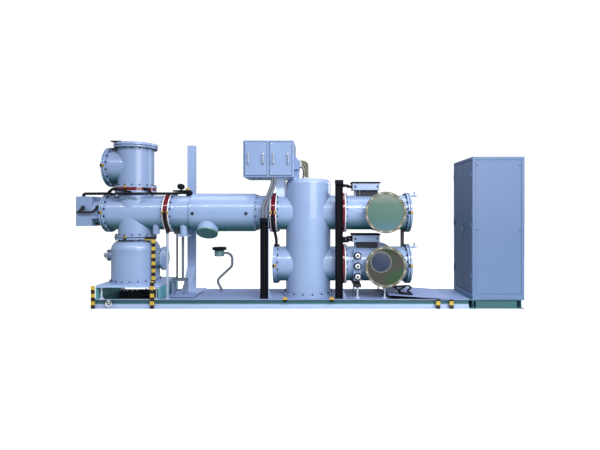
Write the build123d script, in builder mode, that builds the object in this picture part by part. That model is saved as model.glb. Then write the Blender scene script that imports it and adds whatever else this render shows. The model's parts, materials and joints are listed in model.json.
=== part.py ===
from build123d import *
import math
import os

# A gas-insulated switchgear bay on its skid, in millimetres.
# X runs along the skid, Y away from the viewer, Z up from the ground.
# The breaker stands over the origin, and the tanks are chained outward from it.

# Skid: two rails, cross beams and deck plates.
skid_length = 6670
skid_depth = 900
rail_height = 140
rail_flange = 58
rail_web = 8
rail_flange_thickness = 10
beam_width = 100
beam_web = 8
beam_flange = 10
beam_station_shares = (-0.4925, -0.34, -0.20, -0.09, 0.0, 0.09, 0.19)
cabinet_beam_lead = 40
cabinet_rail_setback = 30
deck_thickness = 6
deck_gap = 4
deck_start = -2275
deck_joint_shares = (0.0, 0.14, 0.34, 0.61, 0.745)
loose_plate_start = 1246
loose_plate_length = 985
loose_plate_margin = 20
loose_plate_tilt = 3.9
overrun = 20

# Heights of the two tank rows.
upper_axis = 1482
lower_axis = 645

# Tank walls, flanges and the insulating spacers between tanks.
tube_radius = 280
branch_radius = 270
tube_wall = 10
flange_radius = 320
flange_thickness = 30
spacer_thickness = 50
spacer_radius = 316
cover_thickness = 30
seat_gap = 0.3

# Circuit breaker tank.
breaker_radius = 365
breaker_wall = 12
breaker_height = 1874
breaker_knuckle = 75
breaker_foot_radius = 410
breaker_foot_thickness = 45
nozzle_reach = 525
blind_thickness = 35

# Line side: adapters and the current transformer tank.
adapter_radius = 275
lug_x = -2007
lug_y = -130
lug_bottom = 1100
lug_radius = 60
lug_disc_radius = 115
lug_disc_thickness = 20
right_adapter_length = 253
ct_length = 1045
ct_radius = 310
ct_end_plate = 25
ct_end_chamfer = 40
left_adapter_length = 350
terminal_station = 782
terminal_radius = 168
terminal_reach = 375
terminal_cover_thickness = 22
terminal_lean = 32

# Switch tank with its branches up and down.
cross_right_reach = 560
cross_left_reach = 425
cross_up_reach = 350
cross_down_reach = 397
stub_station = 171
stub_offset = 150
stub_radius = 52
stub_drop = 346

# Upper tee tank.
tee_port_rise = 340
tee_top_rise = 333
tee_port_reach = 395
tee_top_flange_radius = 335
tee_top_cover_thickness = 45

# Lower vessel on its table.
vessel_radius = 372
vessel_neck_radius = 250
vessel_neck_length = 22
vessel_shoulder = 150
vessel_foot_radius = 395
vessel_foot_thickness = 30
vessel_port_height = 730
vessel_port_radius = 165
vessel_port_reach = 455
vessel_cover_radius = 192
vessel_cover_thickness = 30
vessel_cover_bulge = 45
valve_height = 780
valve_port_radius = 70
valve_port_reach = 425
valve_flange_radius = 95
valve_flange_thickness = 22
valve_stem_radius = 16
valve_stem_length = 45
valve_knob_radius = 34
valve_knob_length = 26

# Table under the lower vessel.
table_top = 358
table_thickness = 34
table_length = 980
table_centre = -2780
table_setback = 10
table_wall = 12
table_ring_radius = 250
table_ring_depth = 70
jack_inset = 62
jack_rod_radius = 12
jack_foot_radius = 38
jack_foot_thickness = 14
jack_nut_radius = 24
jack_nut_thickness = 20

# Drive on the left end of the switch tank, with its levers and rod.
drive_neck_radius = 200
drive_neck_length = 170
drive_box_width = 255
drive_box_depth = 400
drive_box_height = 474
drive_box_rise = 19
lever_length = 108
lever_angle = 222
lever_thickness = 12
lever_width = 34
lever_hub_radius = 27
lever_eye_radius = 18
lever_standoff = 22
pin_radius = 9
pin_clearance = 0.5
shaft_radius = 16
drive_pivot_inset = 118
drive_pivot_rise = 78
switch_pivot_inset = 62
switch_boss_radius = 34
shelf_gap = 6
shelf_width = 122
shelf_drop = 57
shelf_thickness = 40
shelf_front = 215
shelf_back = 140
rod_gap = 5
rod_thickness = 12
rod_width = 20
rod_eye_radius = 18
pin_head_radius = 14
pin_head_thickness = 6

# Busbar tanks.
busbar_port_station = 625
busbar_end_reach = 415
busbar_port_reach = 440
busbar_end_thickness = 35
end_valve_rise = 270
end_valve_radius = 14
end_valve_reach = 96
end_valve_tail = 36
end_valve_height = 74
front_cover_thickness = 20
bolt_circle_radius = 300
bolt_hole_radius = 9
bolt_hole_count = 12

# Busbar drives on top of the tubes.
busbar_drive_station = 358
busbar_drive_width = 434
busbar_drive_depth = 300
busbar_drive_height = 107
busbar_drive_rise = 83
busbar_drive_foot = 44
busbar_drive_foot_depth = 120
busbar_drive_foot_share = 0.36
drive_lid_thickness = 24
drive_lid_overhang = 14

# Earthing terminals on the lower busbar tube.
pad_station = 203
pad_width = 118
pad_height = 470
pad_front = 322
pad_back = 120
bushing_pitch = 163
bushing_radius = 58
bushing_length = 30
bushing_core_radius = 40
bushing_core_length = 55

# Cradles and jacks under the lower busbar tube, strut between the tubes.
cradle_left_station = 200
cradle_right_station = 625
cradle_width = 110
cradle_depth = 780
cradle_height = 45
cradle_saddle = 30
saddle_share = 0.25
cradle_jack_reach = 345
strut_size = 50
strut_inset = 70

# Rear post and the rod support of the line tube.
post_left = -2100
post_width = 140
post_front = 360
post_depth = 60
post_top = 2640
post_knee = 540
post_toe = 62
post_plate = 18
post_plate_left = -2190
post_plate_length = 400
post_plate_front = 72
post_plate_depth = 370
post_arm_height = 180
saddle_centre = -2112
support_centre = -2110
support_rod_spread = 96
support_rod_radius = 11
saddle_length = 150
saddle_depth = 130
saddle_bottom = 1130
stand_length = 240
stand_depth = 100
stand_top = 400
stand_thickness = 40
stand_leg = 32

# Operating mechanism box over the breaker.
mechanism_left = -1018
mechanism_width = 796
mechanism_front = -330
mechanism_depth = 700
mechanism_rise = 20
mechanism_height = 572
mechanism_edge = 12
cover_panel_width = 352
cover_panel_height = 530
cover_panel_thickness = 12
cover_panel_pitch = 391
handle_spread = 232
handle_height = 160
handle_reach = 34
handle_radius = 7
handle_bend = 16
bracket_left = -520
bracket_width = 140
bracket_depth = 220
bracket_shelf = 20
bracket_shelf_reach = 330
gland_width = 75
gland_depth = 260
gland_height = 230
gland_lift = 140
gland_slope = 90

# Cable troughs with their posts.
trough_left_start = -734
trough_right_start = 424
trough_width = 118
trough_depth = 60
trough_wall = 4
trough_front = -440
trough_left_top = 1397
trough_right_top = 1984
trough_cable_radius = 13
trough_cable_count = 3
trough_post_width = 70
trough_post_depth = 36
trough_foot_spread = 60
trough_foot_height = 150
trough_cap_height = 66
trough_cap_overhang = 6

# Gas gauge on its stiff gooseneck.
gauge_x = -1508
gauge_y = 200
gauge_bottom = 745
gauge_body_radius = 78
gauge_body_height = 105
gauge_cap_radius = 118
gauge_cap_height = 45
gooseneck_radius = 18
gooseneck_bend = 110
gooseneck_reach = 140
gooseneck_fall = 220
gooseneck_low_offset = 52
gooseneck_low_rise = 184
gooseneck_foot_offset = 40
gooseneck_foot_rise = 40

# Gas monitor on the left adapter.
monitor_x = -1985
monitor_stem_radius = 24
monitor_stem_height = 110
monitor_pipe_radius = 14
monitor_pipe_length = 240
monitor_pipe_rise = 80
monitor_body_radius = 46
monitor_body_length = 110
monitor_body_offset = 108
monitor_body_rise = 150
relay_offset = 39
relay_radius = 45
relay_rise = 46
relay_front = 100

# Flexible conduits held between housings.
conduit_radius = 19
end_run_share = 0.98
inner_run_share = 0.49
conduit_bend = 50
tight_bend = 28
drop_bend = 300
side_bend = 150
side_hose_radius = 24
drive_hose_inset = 142
drive_hose_y = -170
drive_hose_rise = 45
spacer_hose_y = -230
spacer_hose_lead = 42
spacer_hose_slope = 70
relay_hose_lead = 60
relay_hose_run = 110
relay_hose_y = -60
left_hose_y = -345
left_hose_rise = 100
left_hose_drop = 100
nozzle_hose_y = -348
nozzle_hose_lead = 42
nozzle_hose_drop = 110
nozzle_hose_rise = 113
nozzle_hose_seat = -150
mechanism_hose_station = 456
mechanism_hose_pitch = 42
mechanism_hose_inset = 40
mechanism_hose_drop = 110
trough_hose_rise = 160
trough_hose_share = 0.28
gland_hose_x = -40
gland_hose_pitch = 65
gland_hose_share = 0.4
gland_hose_bend = 95
busbar_hose_lead = 78
busbar_hose_y = -110
busbar_hose_pitch = 45
bundle_radius = 14
bundle_bend = 100
bundle_pitch = 32
bundle_count = 3
bundle_y = -330
bundle_lead = 65
bundle_landing = 1480
bundle_end = 1640
riser_x = -2172
riser_y = -410
riser_top = 1160
riser_foot_radius = 40
riser_foot_thickness = 14

# Control cabinet.
cabinet_width = 800
cabinet_depth = 880
cabinet_height = 2200
cabinet_plinth = 84
cabinet_roof = 45
cabinet_post = 46
cabinet_sheet = 3
panel_thickness = 22
panel_recess = 4
door_thickness = 24
door_gap = 8
door_recess = 2
hinge_offset = 11
hinge_radius = 8
hinge_length = 60
hinge_gap = 0.4
hinge_pin_radius = 4
hinge_pin_length = 40
hinge_shares = (0.12, 0.5, 0.88)
handle_plate_width = 34
handle_plate_height = 150
handle_plate_thickness = 14
handle_plate_inset = 12
handle_plate_height_share = 0.475

# Earth bars, flat strips from the ground to the frame.
earth_bar_thickness = 8
earth_bar_width = 62
earth_post_left_x = -3305
earth_post_left_top = 352
earth_post_right_x = -2393
earth_post_right_top = 425
earth_stub_left_x = 2006
earth_stub_right_x = 2210
earth_strip_x = -2462
earth_strip_y = -215
earth_strip_top = 1100
earth_tab = 60

# Places worked out from the sizes above.
half_length = skid_length / 2
half_depth = skid_depth / 2
deck_top = rail_height + deck_thickness
table_depth = skid_depth - 2 * table_setback
breaker_top = deck_top + breaker_height
mechanism_bottom = breaker_top + mechanism_rise
gland_bottom = mechanism_bottom + gland_lift
right_adapter_end = -(nozzle_reach + spacer_thickness)
ct_right = right_adapter_end - right_adapter_length
ct_left = ct_right - ct_length
left_adapter_end = ct_left - left_adapter_length
cross_right = left_adapter_end - spacer_thickness
tower_x = cross_right - cross_right_reach
cross_left = tower_x - cross_left_reach
neck_start = cross_left - cover_thickness
neck_end = neck_start - drive_neck_length
cross_top = upper_axis + cross_up_reach
tee_bottom = cross_top + spacer_thickness
tee_port_axis = tee_bottom + tee_port_rise
tee_top = tee_port_axis + tee_top_rise
vessel_top = upper_axis - cross_down_reach
busbar_left = nozzle_reach + spacer_thickness
busbar_port_x = busbar_left + busbar_port_station
busbar_right = busbar_port_x + busbar_end_reach
front_cover_face = -busbar_port_reach - front_cover_thickness
cabinet_left = half_length - cabinet_width
cabinet_front = -half_depth
cabinet_back = cabinet_front + cabinet_depth
cabinet_floor = rail_height + cabinet_plinth
cabinet_top = rail_height + cabinet_height
cabinet_eaves = cabinet_top - cabinet_roof


def facing_x(x, y, z):
    """A plane whose normal runs along the skid."""
    return Plane(origin=(x, y, z), x_dir=(0, 1, 0), z_dir=(1, 0, 0))


def facing_y(x, y, z):
    """A plane whose normal runs away from the viewer."""
    return Plane(origin=(x, y, z), x_dir=(1, 0, 0), z_dir=(0, 1, 0))


def facing_up(x, y, z):
    """A plane whose normal runs up."""
    return Plane(origin=(x, y, z))


def bar(plane, radius, length, mode=Mode.ADD):
    """A round bar standing on a plane, along the plane's normal."""
    with BuildSketch(plane) as outline:
        Circle(radius)
    extrude(outline.sketch, amount=length, mode=mode)


def block(low, high, mode=Mode.ADD):
    """A plain block between two opposite corners."""
    middle_x = (low[0] + high[0]) / 2
    middle_y = (low[1] + high[1]) / 2
    with BuildSketch(facing_up(middle_x, middle_y, low[2])) as outline:
        Rectangle(high[0] - low[0], high[1] - low[1])
    extrude(outline.sketch, amount=high[2] - low[2], mode=mode)


def plate_across(points, x, width, mode=Mode.ADD):
    """A plate drawn as (y, z) points and extruded along the skid."""
    with BuildSketch(facing_x(x, 0, 0)) as outline:
        with BuildLine():
            Polyline(*points, close=True)
        make_face()
    extrude(outline.sketch, amount=width, mode=mode)


def hose(points, radius, bend):
    """A round hose along straight runs, joined by arcs as large as the runs allow."""
    runs = [Vector(*end) - Vector(*start) for start, end in zip(points, points[1:])]
    last = len(runs) - 1
    for number in range(last):
        room_before = runs[number].length * (end_run_share if number == 0 else inner_run_share)
        room_after = runs[number + 1].length * (end_run_share if number + 1 == last else inner_run_share)
        half_turn = math.radians(runs[number].get_angle(runs[number + 1])) / 2
        bend = min(bend, min(room_before, room_after) / math.tan(half_turn))
    with BuildLine() as path:
        FilletPolyline(*points, radius=bend)
    with BuildSketch(Plane(origin=path.line @ 0, z_dir=path.line % 0)) as ring:
        Circle(radius)
    sweep(ring.sketch, path=path.line)


def jack(x, y, bottom, top):
    """A levelling jack between two heights: foot, rod and nut."""
    bar(facing_up(x, y, bottom), jack_foot_radius, jack_foot_thickness)
    bar(facing_up(x, y, bottom), jack_rod_radius, top - bottom)
    bar(facing_up(x, y, top - jack_nut_thickness), jack_nut_radius, jack_nut_thickness)


def write_piece(piece, name):
    """Label a finished piece and write it to its own file."""
    piece.part.label = name
    export_step(piece.part, "parts/" + name + ".step")


os.makedirs("parts", exist_ok=True)

# Rails: channels with their open sides outward, and a short one set back under the cabinet.
front_rail_end = cabinet_left - cabinet_beam_lead
cabinet_rail_start = front_rail_end + beam_width
cabinet_rail_end = half_length - beam_width
with BuildPart() as skid_rails:
    block((-half_length, -half_depth, 0), (front_rail_end, rail_flange - half_depth, rail_height))
    block(
        (-half_length - overrun, -half_depth - overrun, rail_flange_thickness),
        (front_rail_end + overrun, rail_flange - half_depth - rail_web, rail_height - rail_flange_thickness),
        Mode.SUBTRACT,
    )
    cabinet_rail_front = cabinet_rail_setback - half_depth
    block(
        (cabinet_rail_start, cabinet_rail_front, 0),
        (cabinet_rail_end, cabinet_rail_front + rail_flange, rail_height),
    )
    block(
        (cabinet_rail_start - overrun, cabinet_rail_front + rail_web, rail_flange_thickness),
        (cabinet_rail_end + overrun, cabinet_rail_front + rail_flange + overrun,
         rail_height - rail_flange_thickness),
        Mode.SUBTRACT,
    )
    block((-half_length, half_depth - rail_flange, 0), (front_rail_end, half_depth, rail_height))
    block(
        (-half_length - overrun, half_depth - rail_flange + rail_web, rail_flange_thickness),
        (front_rail_end + overrun, half_depth + overrun, rail_height - rail_flange_thickness),
        Mode.SUBTRACT,
    )
write_piece(skid_rails, "skid_rails")

# Cross beams: I-sections between the rails, and two full-depth ones under the cabinet.
with BuildPart() as cross_beams:
    beam_spans = []
    for share in beam_station_shares:
        beam_spans.append((share * skid_length, half_depth - rail_flange))
    beam_spans.append((front_rail_end + beam_width / 2, half_depth))
    beam_spans.append((half_length - beam_width / 2, half_depth))
    for beam_x, beam_reach in beam_spans:
        block((beam_x - beam_width / 2, -beam_reach, 0), (beam_x + beam_width / 2, beam_reach, beam_flange))
        block((beam_x - beam_web / 2, -beam_reach, 0), (beam_x + beam_web / 2, beam_reach, rail_height))
        block(
            (beam_x - beam_width / 2, -beam_reach, rail_height - beam_flange),
            (beam_x + beam_width / 2, beam_reach, rail_height),
        )
write_piece(cross_beams, "cross_beams")

# Deck plates on the rails, with an open gap where the loose plate lies.
deck_run = front_rail_end - deck_start
with BuildPart() as deck_plates:
    for number in range(len(deck_joint_shares) - 1):
        plate_start = deck_start + deck_joint_shares[number] * deck_run
        plate_end = deck_start + deck_joint_shares[number + 1] * deck_run - deck_gap
        block((plate_start, -half_depth, rail_height), (plate_end, half_depth, deck_top))
    block(
        (loose_plate_start + loose_plate_length + deck_gap, -half_depth, rail_height),
        (front_rail_end, half_depth, deck_top),
    )
write_piece(deck_plates, "deck_plates")

# Loose deck plate, lifted at its left end.
loose_plate_end = loose_plate_start + loose_plate_length
with BuildPart() as loose_plate:
    tilt_plane = Plane(
        origin=(loose_plate_end, 0, rail_height),
        x_dir=(-math.cos(math.radians(loose_plate_tilt)), 0, math.sin(math.radians(loose_plate_tilt))),
        z_dir=(math.sin(math.radians(loose_plate_tilt)), 0, math.cos(math.radians(loose_plate_tilt))),
    )
    with BuildSketch(tilt_plane):
        with Locations((loose_plate_length / 2, 0)):
            Rectangle(loose_plate_length, skid_depth - 2 * loose_plate_margin)
    extrude(amount=deck_thickness)
write_piece(loose_plate, "loose_deck_plate")

# Table under the lower vessel: top plate on two side walls, with the vessel ring below it.
table_left = table_centre - table_length / 2
table_right = table_centre + table_length / 2
table_under = table_top - table_thickness
with BuildPart() as table:
    block((table_left, -table_depth / 2, table_under), (table_right, table_depth / 2, table_top))
    bar(facing_up(tower_x, 0, table_under - table_ring_depth), table_ring_radius, table_ring_depth)
    bar(facing_up(tower_x, 0, table_under - table_ring_depth - overrun), vessel_neck_radius,
        table_thickness + table_ring_depth + 2 * overrun, Mode.SUBTRACT)
    for wall_x in (table_left, table_right - table_wall):
        block((wall_x, -table_depth / 2, rail_height), (wall_x + table_wall, table_depth / 2, table_under))
write_piece(table, "vessel_table")

# Lower vessel: a shell with a domed shoulder, a neck flange and two ports.
vessel_shoulder_top = vessel_top - flange_thickness - vessel_neck_length
vessel_shoulder_low = vessel_shoulder_top - vessel_shoulder
with BuildPart() as lower_vessel:
    with BuildSketch(Plane.XZ):
        with BuildLine():
            foot_line = Polyline(
                (tower_x, table_top),
                (tower_x + vessel_foot_radius, table_top),
                (tower_x + vessel_foot_radius, table_top + vessel_foot_thickness),
                (tower_x + vessel_radius, table_top + vessel_foot_thickness),
                (tower_x + vessel_radius, vessel_shoulder_low),
            )
            shoulder_arc = TangentArc(
                foot_line @ 1, (tower_x + vessel_neck_radius, vessel_shoulder_top), tangent=(0, 1)
            )
            Polyline(
                shoulder_arc @ 1,
                (tower_x + vessel_neck_radius, vessel_top - flange_thickness),
                (tower_x + flange_radius, vessel_top - flange_thickness),
                (tower_x + flange_radius, vessel_top),
                (tower_x, vessel_top),
                (tower_x, table_top),
            )
        make_face()
    revolve(axis=Axis((tower_x, 0, 0), (0, 0, 1)))
    bar(facing_x(tower_x, 0, vessel_port_height), vessel_port_radius, vessel_port_reach)
    bar(facing_x(tower_x - valve_port_reach, 0, valve_height), valve_port_radius, valve_port_reach)
    with BuildSketch(Plane.XZ):
        with BuildLine():
            wall_line = Polyline(
                (tower_x, table_top - overrun),
                (tower_x + vessel_radius - tube_wall, table_top - overrun),
                (tower_x + vessel_radius - tube_wall, vessel_shoulder_low),
            )
            wall_arc = TangentArc(
                wall_line @ 1,
                (tower_x + vessel_neck_radius - tube_wall, vessel_shoulder_top - tube_wall),
                tangent=(0, 1),
            )
            Polyline(
                wall_arc @ 1,
                (tower_x + vessel_neck_radius - tube_wall, vessel_top + overrun),
                (tower_x, vessel_top + overrun),
                (tower_x, table_top - overrun),
            )
        make_face()
    revolve(axis=Axis((tower_x, 0, 0), (0, 0, 1)), mode=Mode.SUBTRACT)
    bar(facing_x(tower_x, 0, vessel_port_height), vessel_port_radius - tube_wall,
        vessel_port_reach + overrun, Mode.SUBTRACT)
    bar(facing_x(tower_x - valve_port_reach - overrun, 0, valve_height), valve_port_radius - tube_wall,
        valve_port_reach + overrun, Mode.SUBTRACT)
write_piece(lower_vessel, "lower_vessel")

# Bulged cover on the vessel's right port.
cover_face = tower_x + vessel_port_reach
dish_face = cover_face + vessel_cover_thickness
dish_radius = (vessel_cover_radius**2 + vessel_cover_bulge**2) / (2 * vessel_cover_bulge)
dish_middle = math.sqrt(dish_radius**2 - (vessel_cover_radius / 2) ** 2) - dish_radius + vessel_cover_bulge
with BuildPart() as vessel_cover:
    with BuildSketch(Plane.XZ):
        with BuildLine():
            rim_line = Polyline(
                (cover_face, vessel_port_height),
                (cover_face, vessel_port_height + vessel_cover_radius),
                (dish_face, vessel_port_height + vessel_cover_radius),
            )
            ThreePointArc(
                rim_line @ 1,
                (dish_face + dish_middle, vessel_port_height + vessel_cover_radius / 2),
                (dish_face + vessel_cover_bulge, vessel_port_height),
            )
            Line((dish_face + vessel_cover_bulge, vessel_port_height), (cover_face, vessel_port_height))
        make_face()
    revolve(axis=Axis((0, 0, vessel_port_height), (1, 0, 0)))
write_piece(vessel_cover, "vessel_port_cover")

# Filling valve on the vessel's left port.
valve_face = tower_x - valve_port_reach
with BuildPart() as vessel_valve:
    bar(facing_x(valve_face - valve_flange_thickness, 0, valve_height), valve_flange_radius,
        valve_flange_thickness)
    bar(facing_x(valve_face - valve_flange_thickness - valve_stem_length, 0, valve_height),
        valve_stem_radius, valve_stem_length)
    knob_face = valve_face - valve_flange_thickness - valve_stem_length - valve_knob_length
    bar(facing_x(knob_face, 0, valve_height), valve_knob_radius, valve_knob_length)
write_piece(vessel_valve, "vessel_filling_valve")

# Switch tank: a cross of welded tubes with four flanges and a closed stub below.
with BuildPart() as cross_tank:
    bar(facing_x(cross_left, 0, upper_axis), tube_radius, cross_right - cross_left)
    bar(facing_up(tower_x, 0, upper_axis), branch_radius, cross_up_reach)
    bar(facing_up(tower_x, 0, vessel_top), branch_radius, cross_down_reach)
    bar(facing_x(cross_left, 0, upper_axis), flange_radius, flange_thickness)
    bar(facing_x(cross_right - flange_thickness, 0, upper_axis), flange_radius, flange_thickness)
    bar(facing_up(tower_x, 0, cross_top - flange_thickness), flange_radius, flange_thickness)
    bar(facing_up(tower_x, 0, vessel_top), flange_radius, flange_thickness)
    stub_x = cross_right - stub_station
    bar(facing_up(stub_x, -stub_offset, upper_axis - stub_drop), stub_radius, stub_drop)
    bar(facing_up(stub_x, -stub_offset, upper_axis - stub_drop + tube_wall), stub_radius - tube_wall,
        stub_drop - tube_wall, Mode.SUBTRACT)
    bar(facing_x(cross_left - overrun, 0, upper_axis), tube_radius - tube_wall,
        cross_right - cross_left + 2 * overrun, Mode.SUBTRACT)
    bar(facing_up(tower_x, 0, upper_axis), branch_radius - tube_wall, cross_up_reach + overrun, Mode.SUBTRACT)
    bar(facing_up(tower_x, 0, vessel_top - overrun), branch_radius - tube_wall, cross_down_reach + overrun,
        Mode.SUBTRACT)
write_piece(cross_tank, "switch_tank")

# End cover of the switch tank with the drive neck, its boss, the switch shaft and a small shelf.
drive_front = -drive_box_depth / 2
lever_back = drive_front - lever_standoff
lever_front = lever_back - lever_thickness
rod_back = lever_front - rod_gap
rod_front = rod_back - rod_thickness
switch_pivot_x = neck_start - switch_pivot_inset
drive_pivot_x = neck_end - drive_pivot_inset
pivot_z = upper_axis + drive_pivot_rise
with BuildPart() as end_cover:
    bar(facing_x(neck_start, 0, upper_axis), flange_radius, cover_thickness)
    bar(facing_x(neck_end, 0, upper_axis), drive_neck_radius, drive_neck_length)
    bar(facing_y(switch_pivot_x, lever_back + rod_gap, pivot_z), switch_boss_radius, -lever_back - rod_gap)
    bar(facing_y(switch_pivot_x, lever_front, pivot_z), shaft_radius, -lever_front)
    block(
        (neck_end + shelf_gap, -shelf_front, upper_axis - shelf_drop - shelf_thickness),
        (neck_end + shelf_gap + shelf_width, -shelf_back, upper_axis - shelf_drop),
    )
write_piece(end_cover, "switch_end_cover")

# Motor drive box with its output shaft.
drive_bottom = upper_axis + drive_box_rise - drive_box_height / 2
with BuildPart() as drive_box:
    block(
        (neck_end - drive_box_width, drive_front, drive_bottom),
        (neck_end, -drive_front, drive_bottom + drive_box_height),
    )
    fillet(drive_box.edges().filter_by(Axis.Z), mechanism_edge)
    bar(facing_y(drive_pivot_x, lever_back + rod_gap, pivot_z), switch_boss_radius, drive_front - lever_back)
    bar(facing_y(drive_pivot_x, lever_front, pivot_z), shaft_radius, drive_front - lever_front)
write_piece(drive_box, "drive_box")

# Where the levers point at rest.
lever_dx = lever_length * math.cos(math.radians(lever_angle))
lever_dz = lever_length * math.sin(math.radians(lever_angle))


def lever_arm(pivot_x):
    """A crank lever on a shaft, with the pin that carries the rod."""
    end_x = pivot_x + lever_dx
    end_z = pivot_z + lever_dz
    bar(facing_y(pivot_x, lever_front, pivot_z), lever_hub_radius, lever_thickness)
    bar(facing_y(end_x, lever_front, end_z), lever_eye_radius, lever_thickness)
    arm_plane = Plane(
        origin=((pivot_x + end_x) / 2, lever_front, (pivot_z + end_z) / 2),
        x_dir=(lever_dx, 0, lever_dz),
        z_dir=(0, 1, 0),
    )
    with BuildSketch(arm_plane) as outline:
        Rectangle(lever_length, lever_width)
    extrude(outline.sketch, amount=lever_thickness)
    bar(facing_y(end_x, rod_front - rod_gap, end_z), pin_radius, lever_front - rod_front + rod_gap)
    bar(facing_y(end_x, rod_front - rod_gap - pin_head_thickness, end_z), pin_head_radius, pin_head_thickness)
    bar(facing_y(pivot_x, lever_front - overrun, pivot_z), shaft_radius + pin_clearance,
        lever_thickness + 2 * overrun, Mode.SUBTRACT)


# Drive lever on the motor drive's shaft.
with BuildPart() as drive_lever:
    lever_arm(drive_pivot_x)
write_piece(drive_lever, "drive_lever")

# Switch lever on the tank's shaft.
with BuildPart() as switch_lever:
    lever_arm(switch_pivot_x)
write_piece(switch_lever, "switch_lever")

# Link rod between the two lever pins, with an eye at each end.
rod_left_x = drive_pivot_x + lever_dx
rod_right_x = switch_pivot_x + lever_dx
rod_z = pivot_z + lever_dz
with BuildPart() as link_rod:
    for eye_x in (rod_left_x, rod_right_x):
        bar(facing_y(eye_x, rod_front, rod_z), rod_eye_radius, rod_thickness)
    block((rod_left_x, rod_front, rod_z - rod_width / 2), (rod_right_x, rod_back, rod_z + rod_width / 2))
    for eye_x in (rod_left_x, rod_right_x):
        bar(facing_y(eye_x, rod_front - overrun, rod_z), pin_radius + pin_clearance,
            rod_thickness + 2 * overrun, Mode.SUBTRACT)
write_piece(link_rod, "link_rod")

# Upper tee tank with a port to the left.
with BuildPart() as upper_tee:
    bar(facing_up(tower_x, 0, tee_bottom), tube_radius, tee_top - tee_bottom)
    bar(facing_x(tower_x - tee_port_reach, 0, tee_port_axis), branch_radius, tee_port_reach)
    bar(facing_up(tower_x, 0, tee_bottom), flange_radius, flange_thickness)
    bar(facing_up(tower_x, 0, tee_top - flange_thickness), tee_top_flange_radius, flange_thickness)
    bar(facing_x(tower_x - tee_port_reach, 0, tee_port_axis), flange_radius, flange_thickness)
    bar(facing_up(tower_x, 0, tee_bottom - overrun), tube_radius - tube_wall,
        tee_top - tee_bottom + 2 * overrun, Mode.SUBTRACT)
    bar(facing_x(tower_x - tee_port_reach - overrun, 0, tee_port_axis), branch_radius - tube_wall,
        tee_port_reach + overrun, Mode.SUBTRACT)
write_piece(upper_tee, "upper_tee")

# Insulating spacers, red discs clamped between the tank flanges.
with BuildPart() as spacers:
    bar(facing_up(tower_x, 0, cross_top), spacer_radius, spacer_thickness)
    bar(facing_x(cross_right, 0, upper_axis), spacer_radius, spacer_thickness)
    bar(facing_x(right_adapter_end, 0, upper_axis), spacer_radius, spacer_thickness)
    bar(facing_x(nozzle_reach, 0, upper_axis), spacer_radius, spacer_thickness)
    bar(facing_x(nozzle_reach, 0, lower_axis), spacer_radius, spacer_thickness)
write_piece(spacers, "insulating_spacers")

# Adapter tubes on both sides of the current transformer tank, the left one with a blind stub below.
with BuildPart() as adapters:
    bar(facing_x(left_adapter_end, 0, upper_axis), adapter_radius, left_adapter_length)
    bar(facing_x(left_adapter_end, 0, upper_axis), flange_radius, flange_thickness)
    bar(facing_up(lug_x, lug_y, lug_bottom), lug_radius, upper_axis - lug_bottom)
    bar(facing_up(lug_x, lug_y, lug_bottom), lug_disc_radius, lug_disc_thickness)
    bar(facing_x(left_adapter_end - overrun, 0, upper_axis), adapter_radius - tube_wall,
        left_adapter_length + 2 * overrun, Mode.SUBTRACT)
    bar(facing_x(ct_right, 0, upper_axis), adapter_radius, right_adapter_length)
    bar(facing_x(right_adapter_end - flange_thickness, 0, upper_axis), flange_radius, flange_thickness)
    bar(facing_x(ct_right - overrun, 0, upper_axis), adapter_radius - tube_wall,
        right_adapter_length + 2 * overrun, Mode.SUBTRACT)
write_piece(adapters, "line_adapters")

# Direction in which the transformer's terminal port leans, down and toward the viewer.
lean_y = -math.sin(math.radians(terminal_lean))
lean_z = -math.cos(math.radians(terminal_lean))
terminal_x = ct_right - terminal_station


def terminal_plane(distance):
    """A plane square to the terminal port, at a distance from the tank's axis."""
    return Plane(
        origin=(terminal_x, lean_y * distance, upper_axis + lean_z * distance),
        x_dir=(1, 0, 0),
        z_dir=(0, lean_y, lean_z),
    )


# Current transformer tank: a wider shell with end plates and the leaning terminal port.
with BuildPart() as ct_tank:
    bar(facing_x(ct_left, 0, upper_axis), ct_radius, ct_length)
    chamfer(ct_tank.edges().filter_by(GeomType.CIRCLE).sort_by(Axis.X)[-1], ct_end_chamfer)
    bar(terminal_plane(0), terminal_radius, terminal_reach)
    bar(facing_x(ct_left + ct_end_plate, 0, upper_axis), ct_radius - tube_wall,
        ct_length - ct_end_plate - ct_end_chamfer, Mode.SUBTRACT)
    bar(facing_x(ct_left - overrun, 0, upper_axis), adapter_radius - tube_wall, ct_length + 2 * overrun,
        Mode.SUBTRACT)
    bar(terminal_plane(0), terminal_radius - tube_wall, terminal_reach + overrun, Mode.SUBTRACT)
write_piece(ct_tank, "current_transformer_tank")

with BuildPart() as terminal_cover:
    bar(terminal_plane(terminal_reach), terminal_radius, terminal_cover_thickness)
write_piece(terminal_cover, "terminal_cover")

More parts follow.
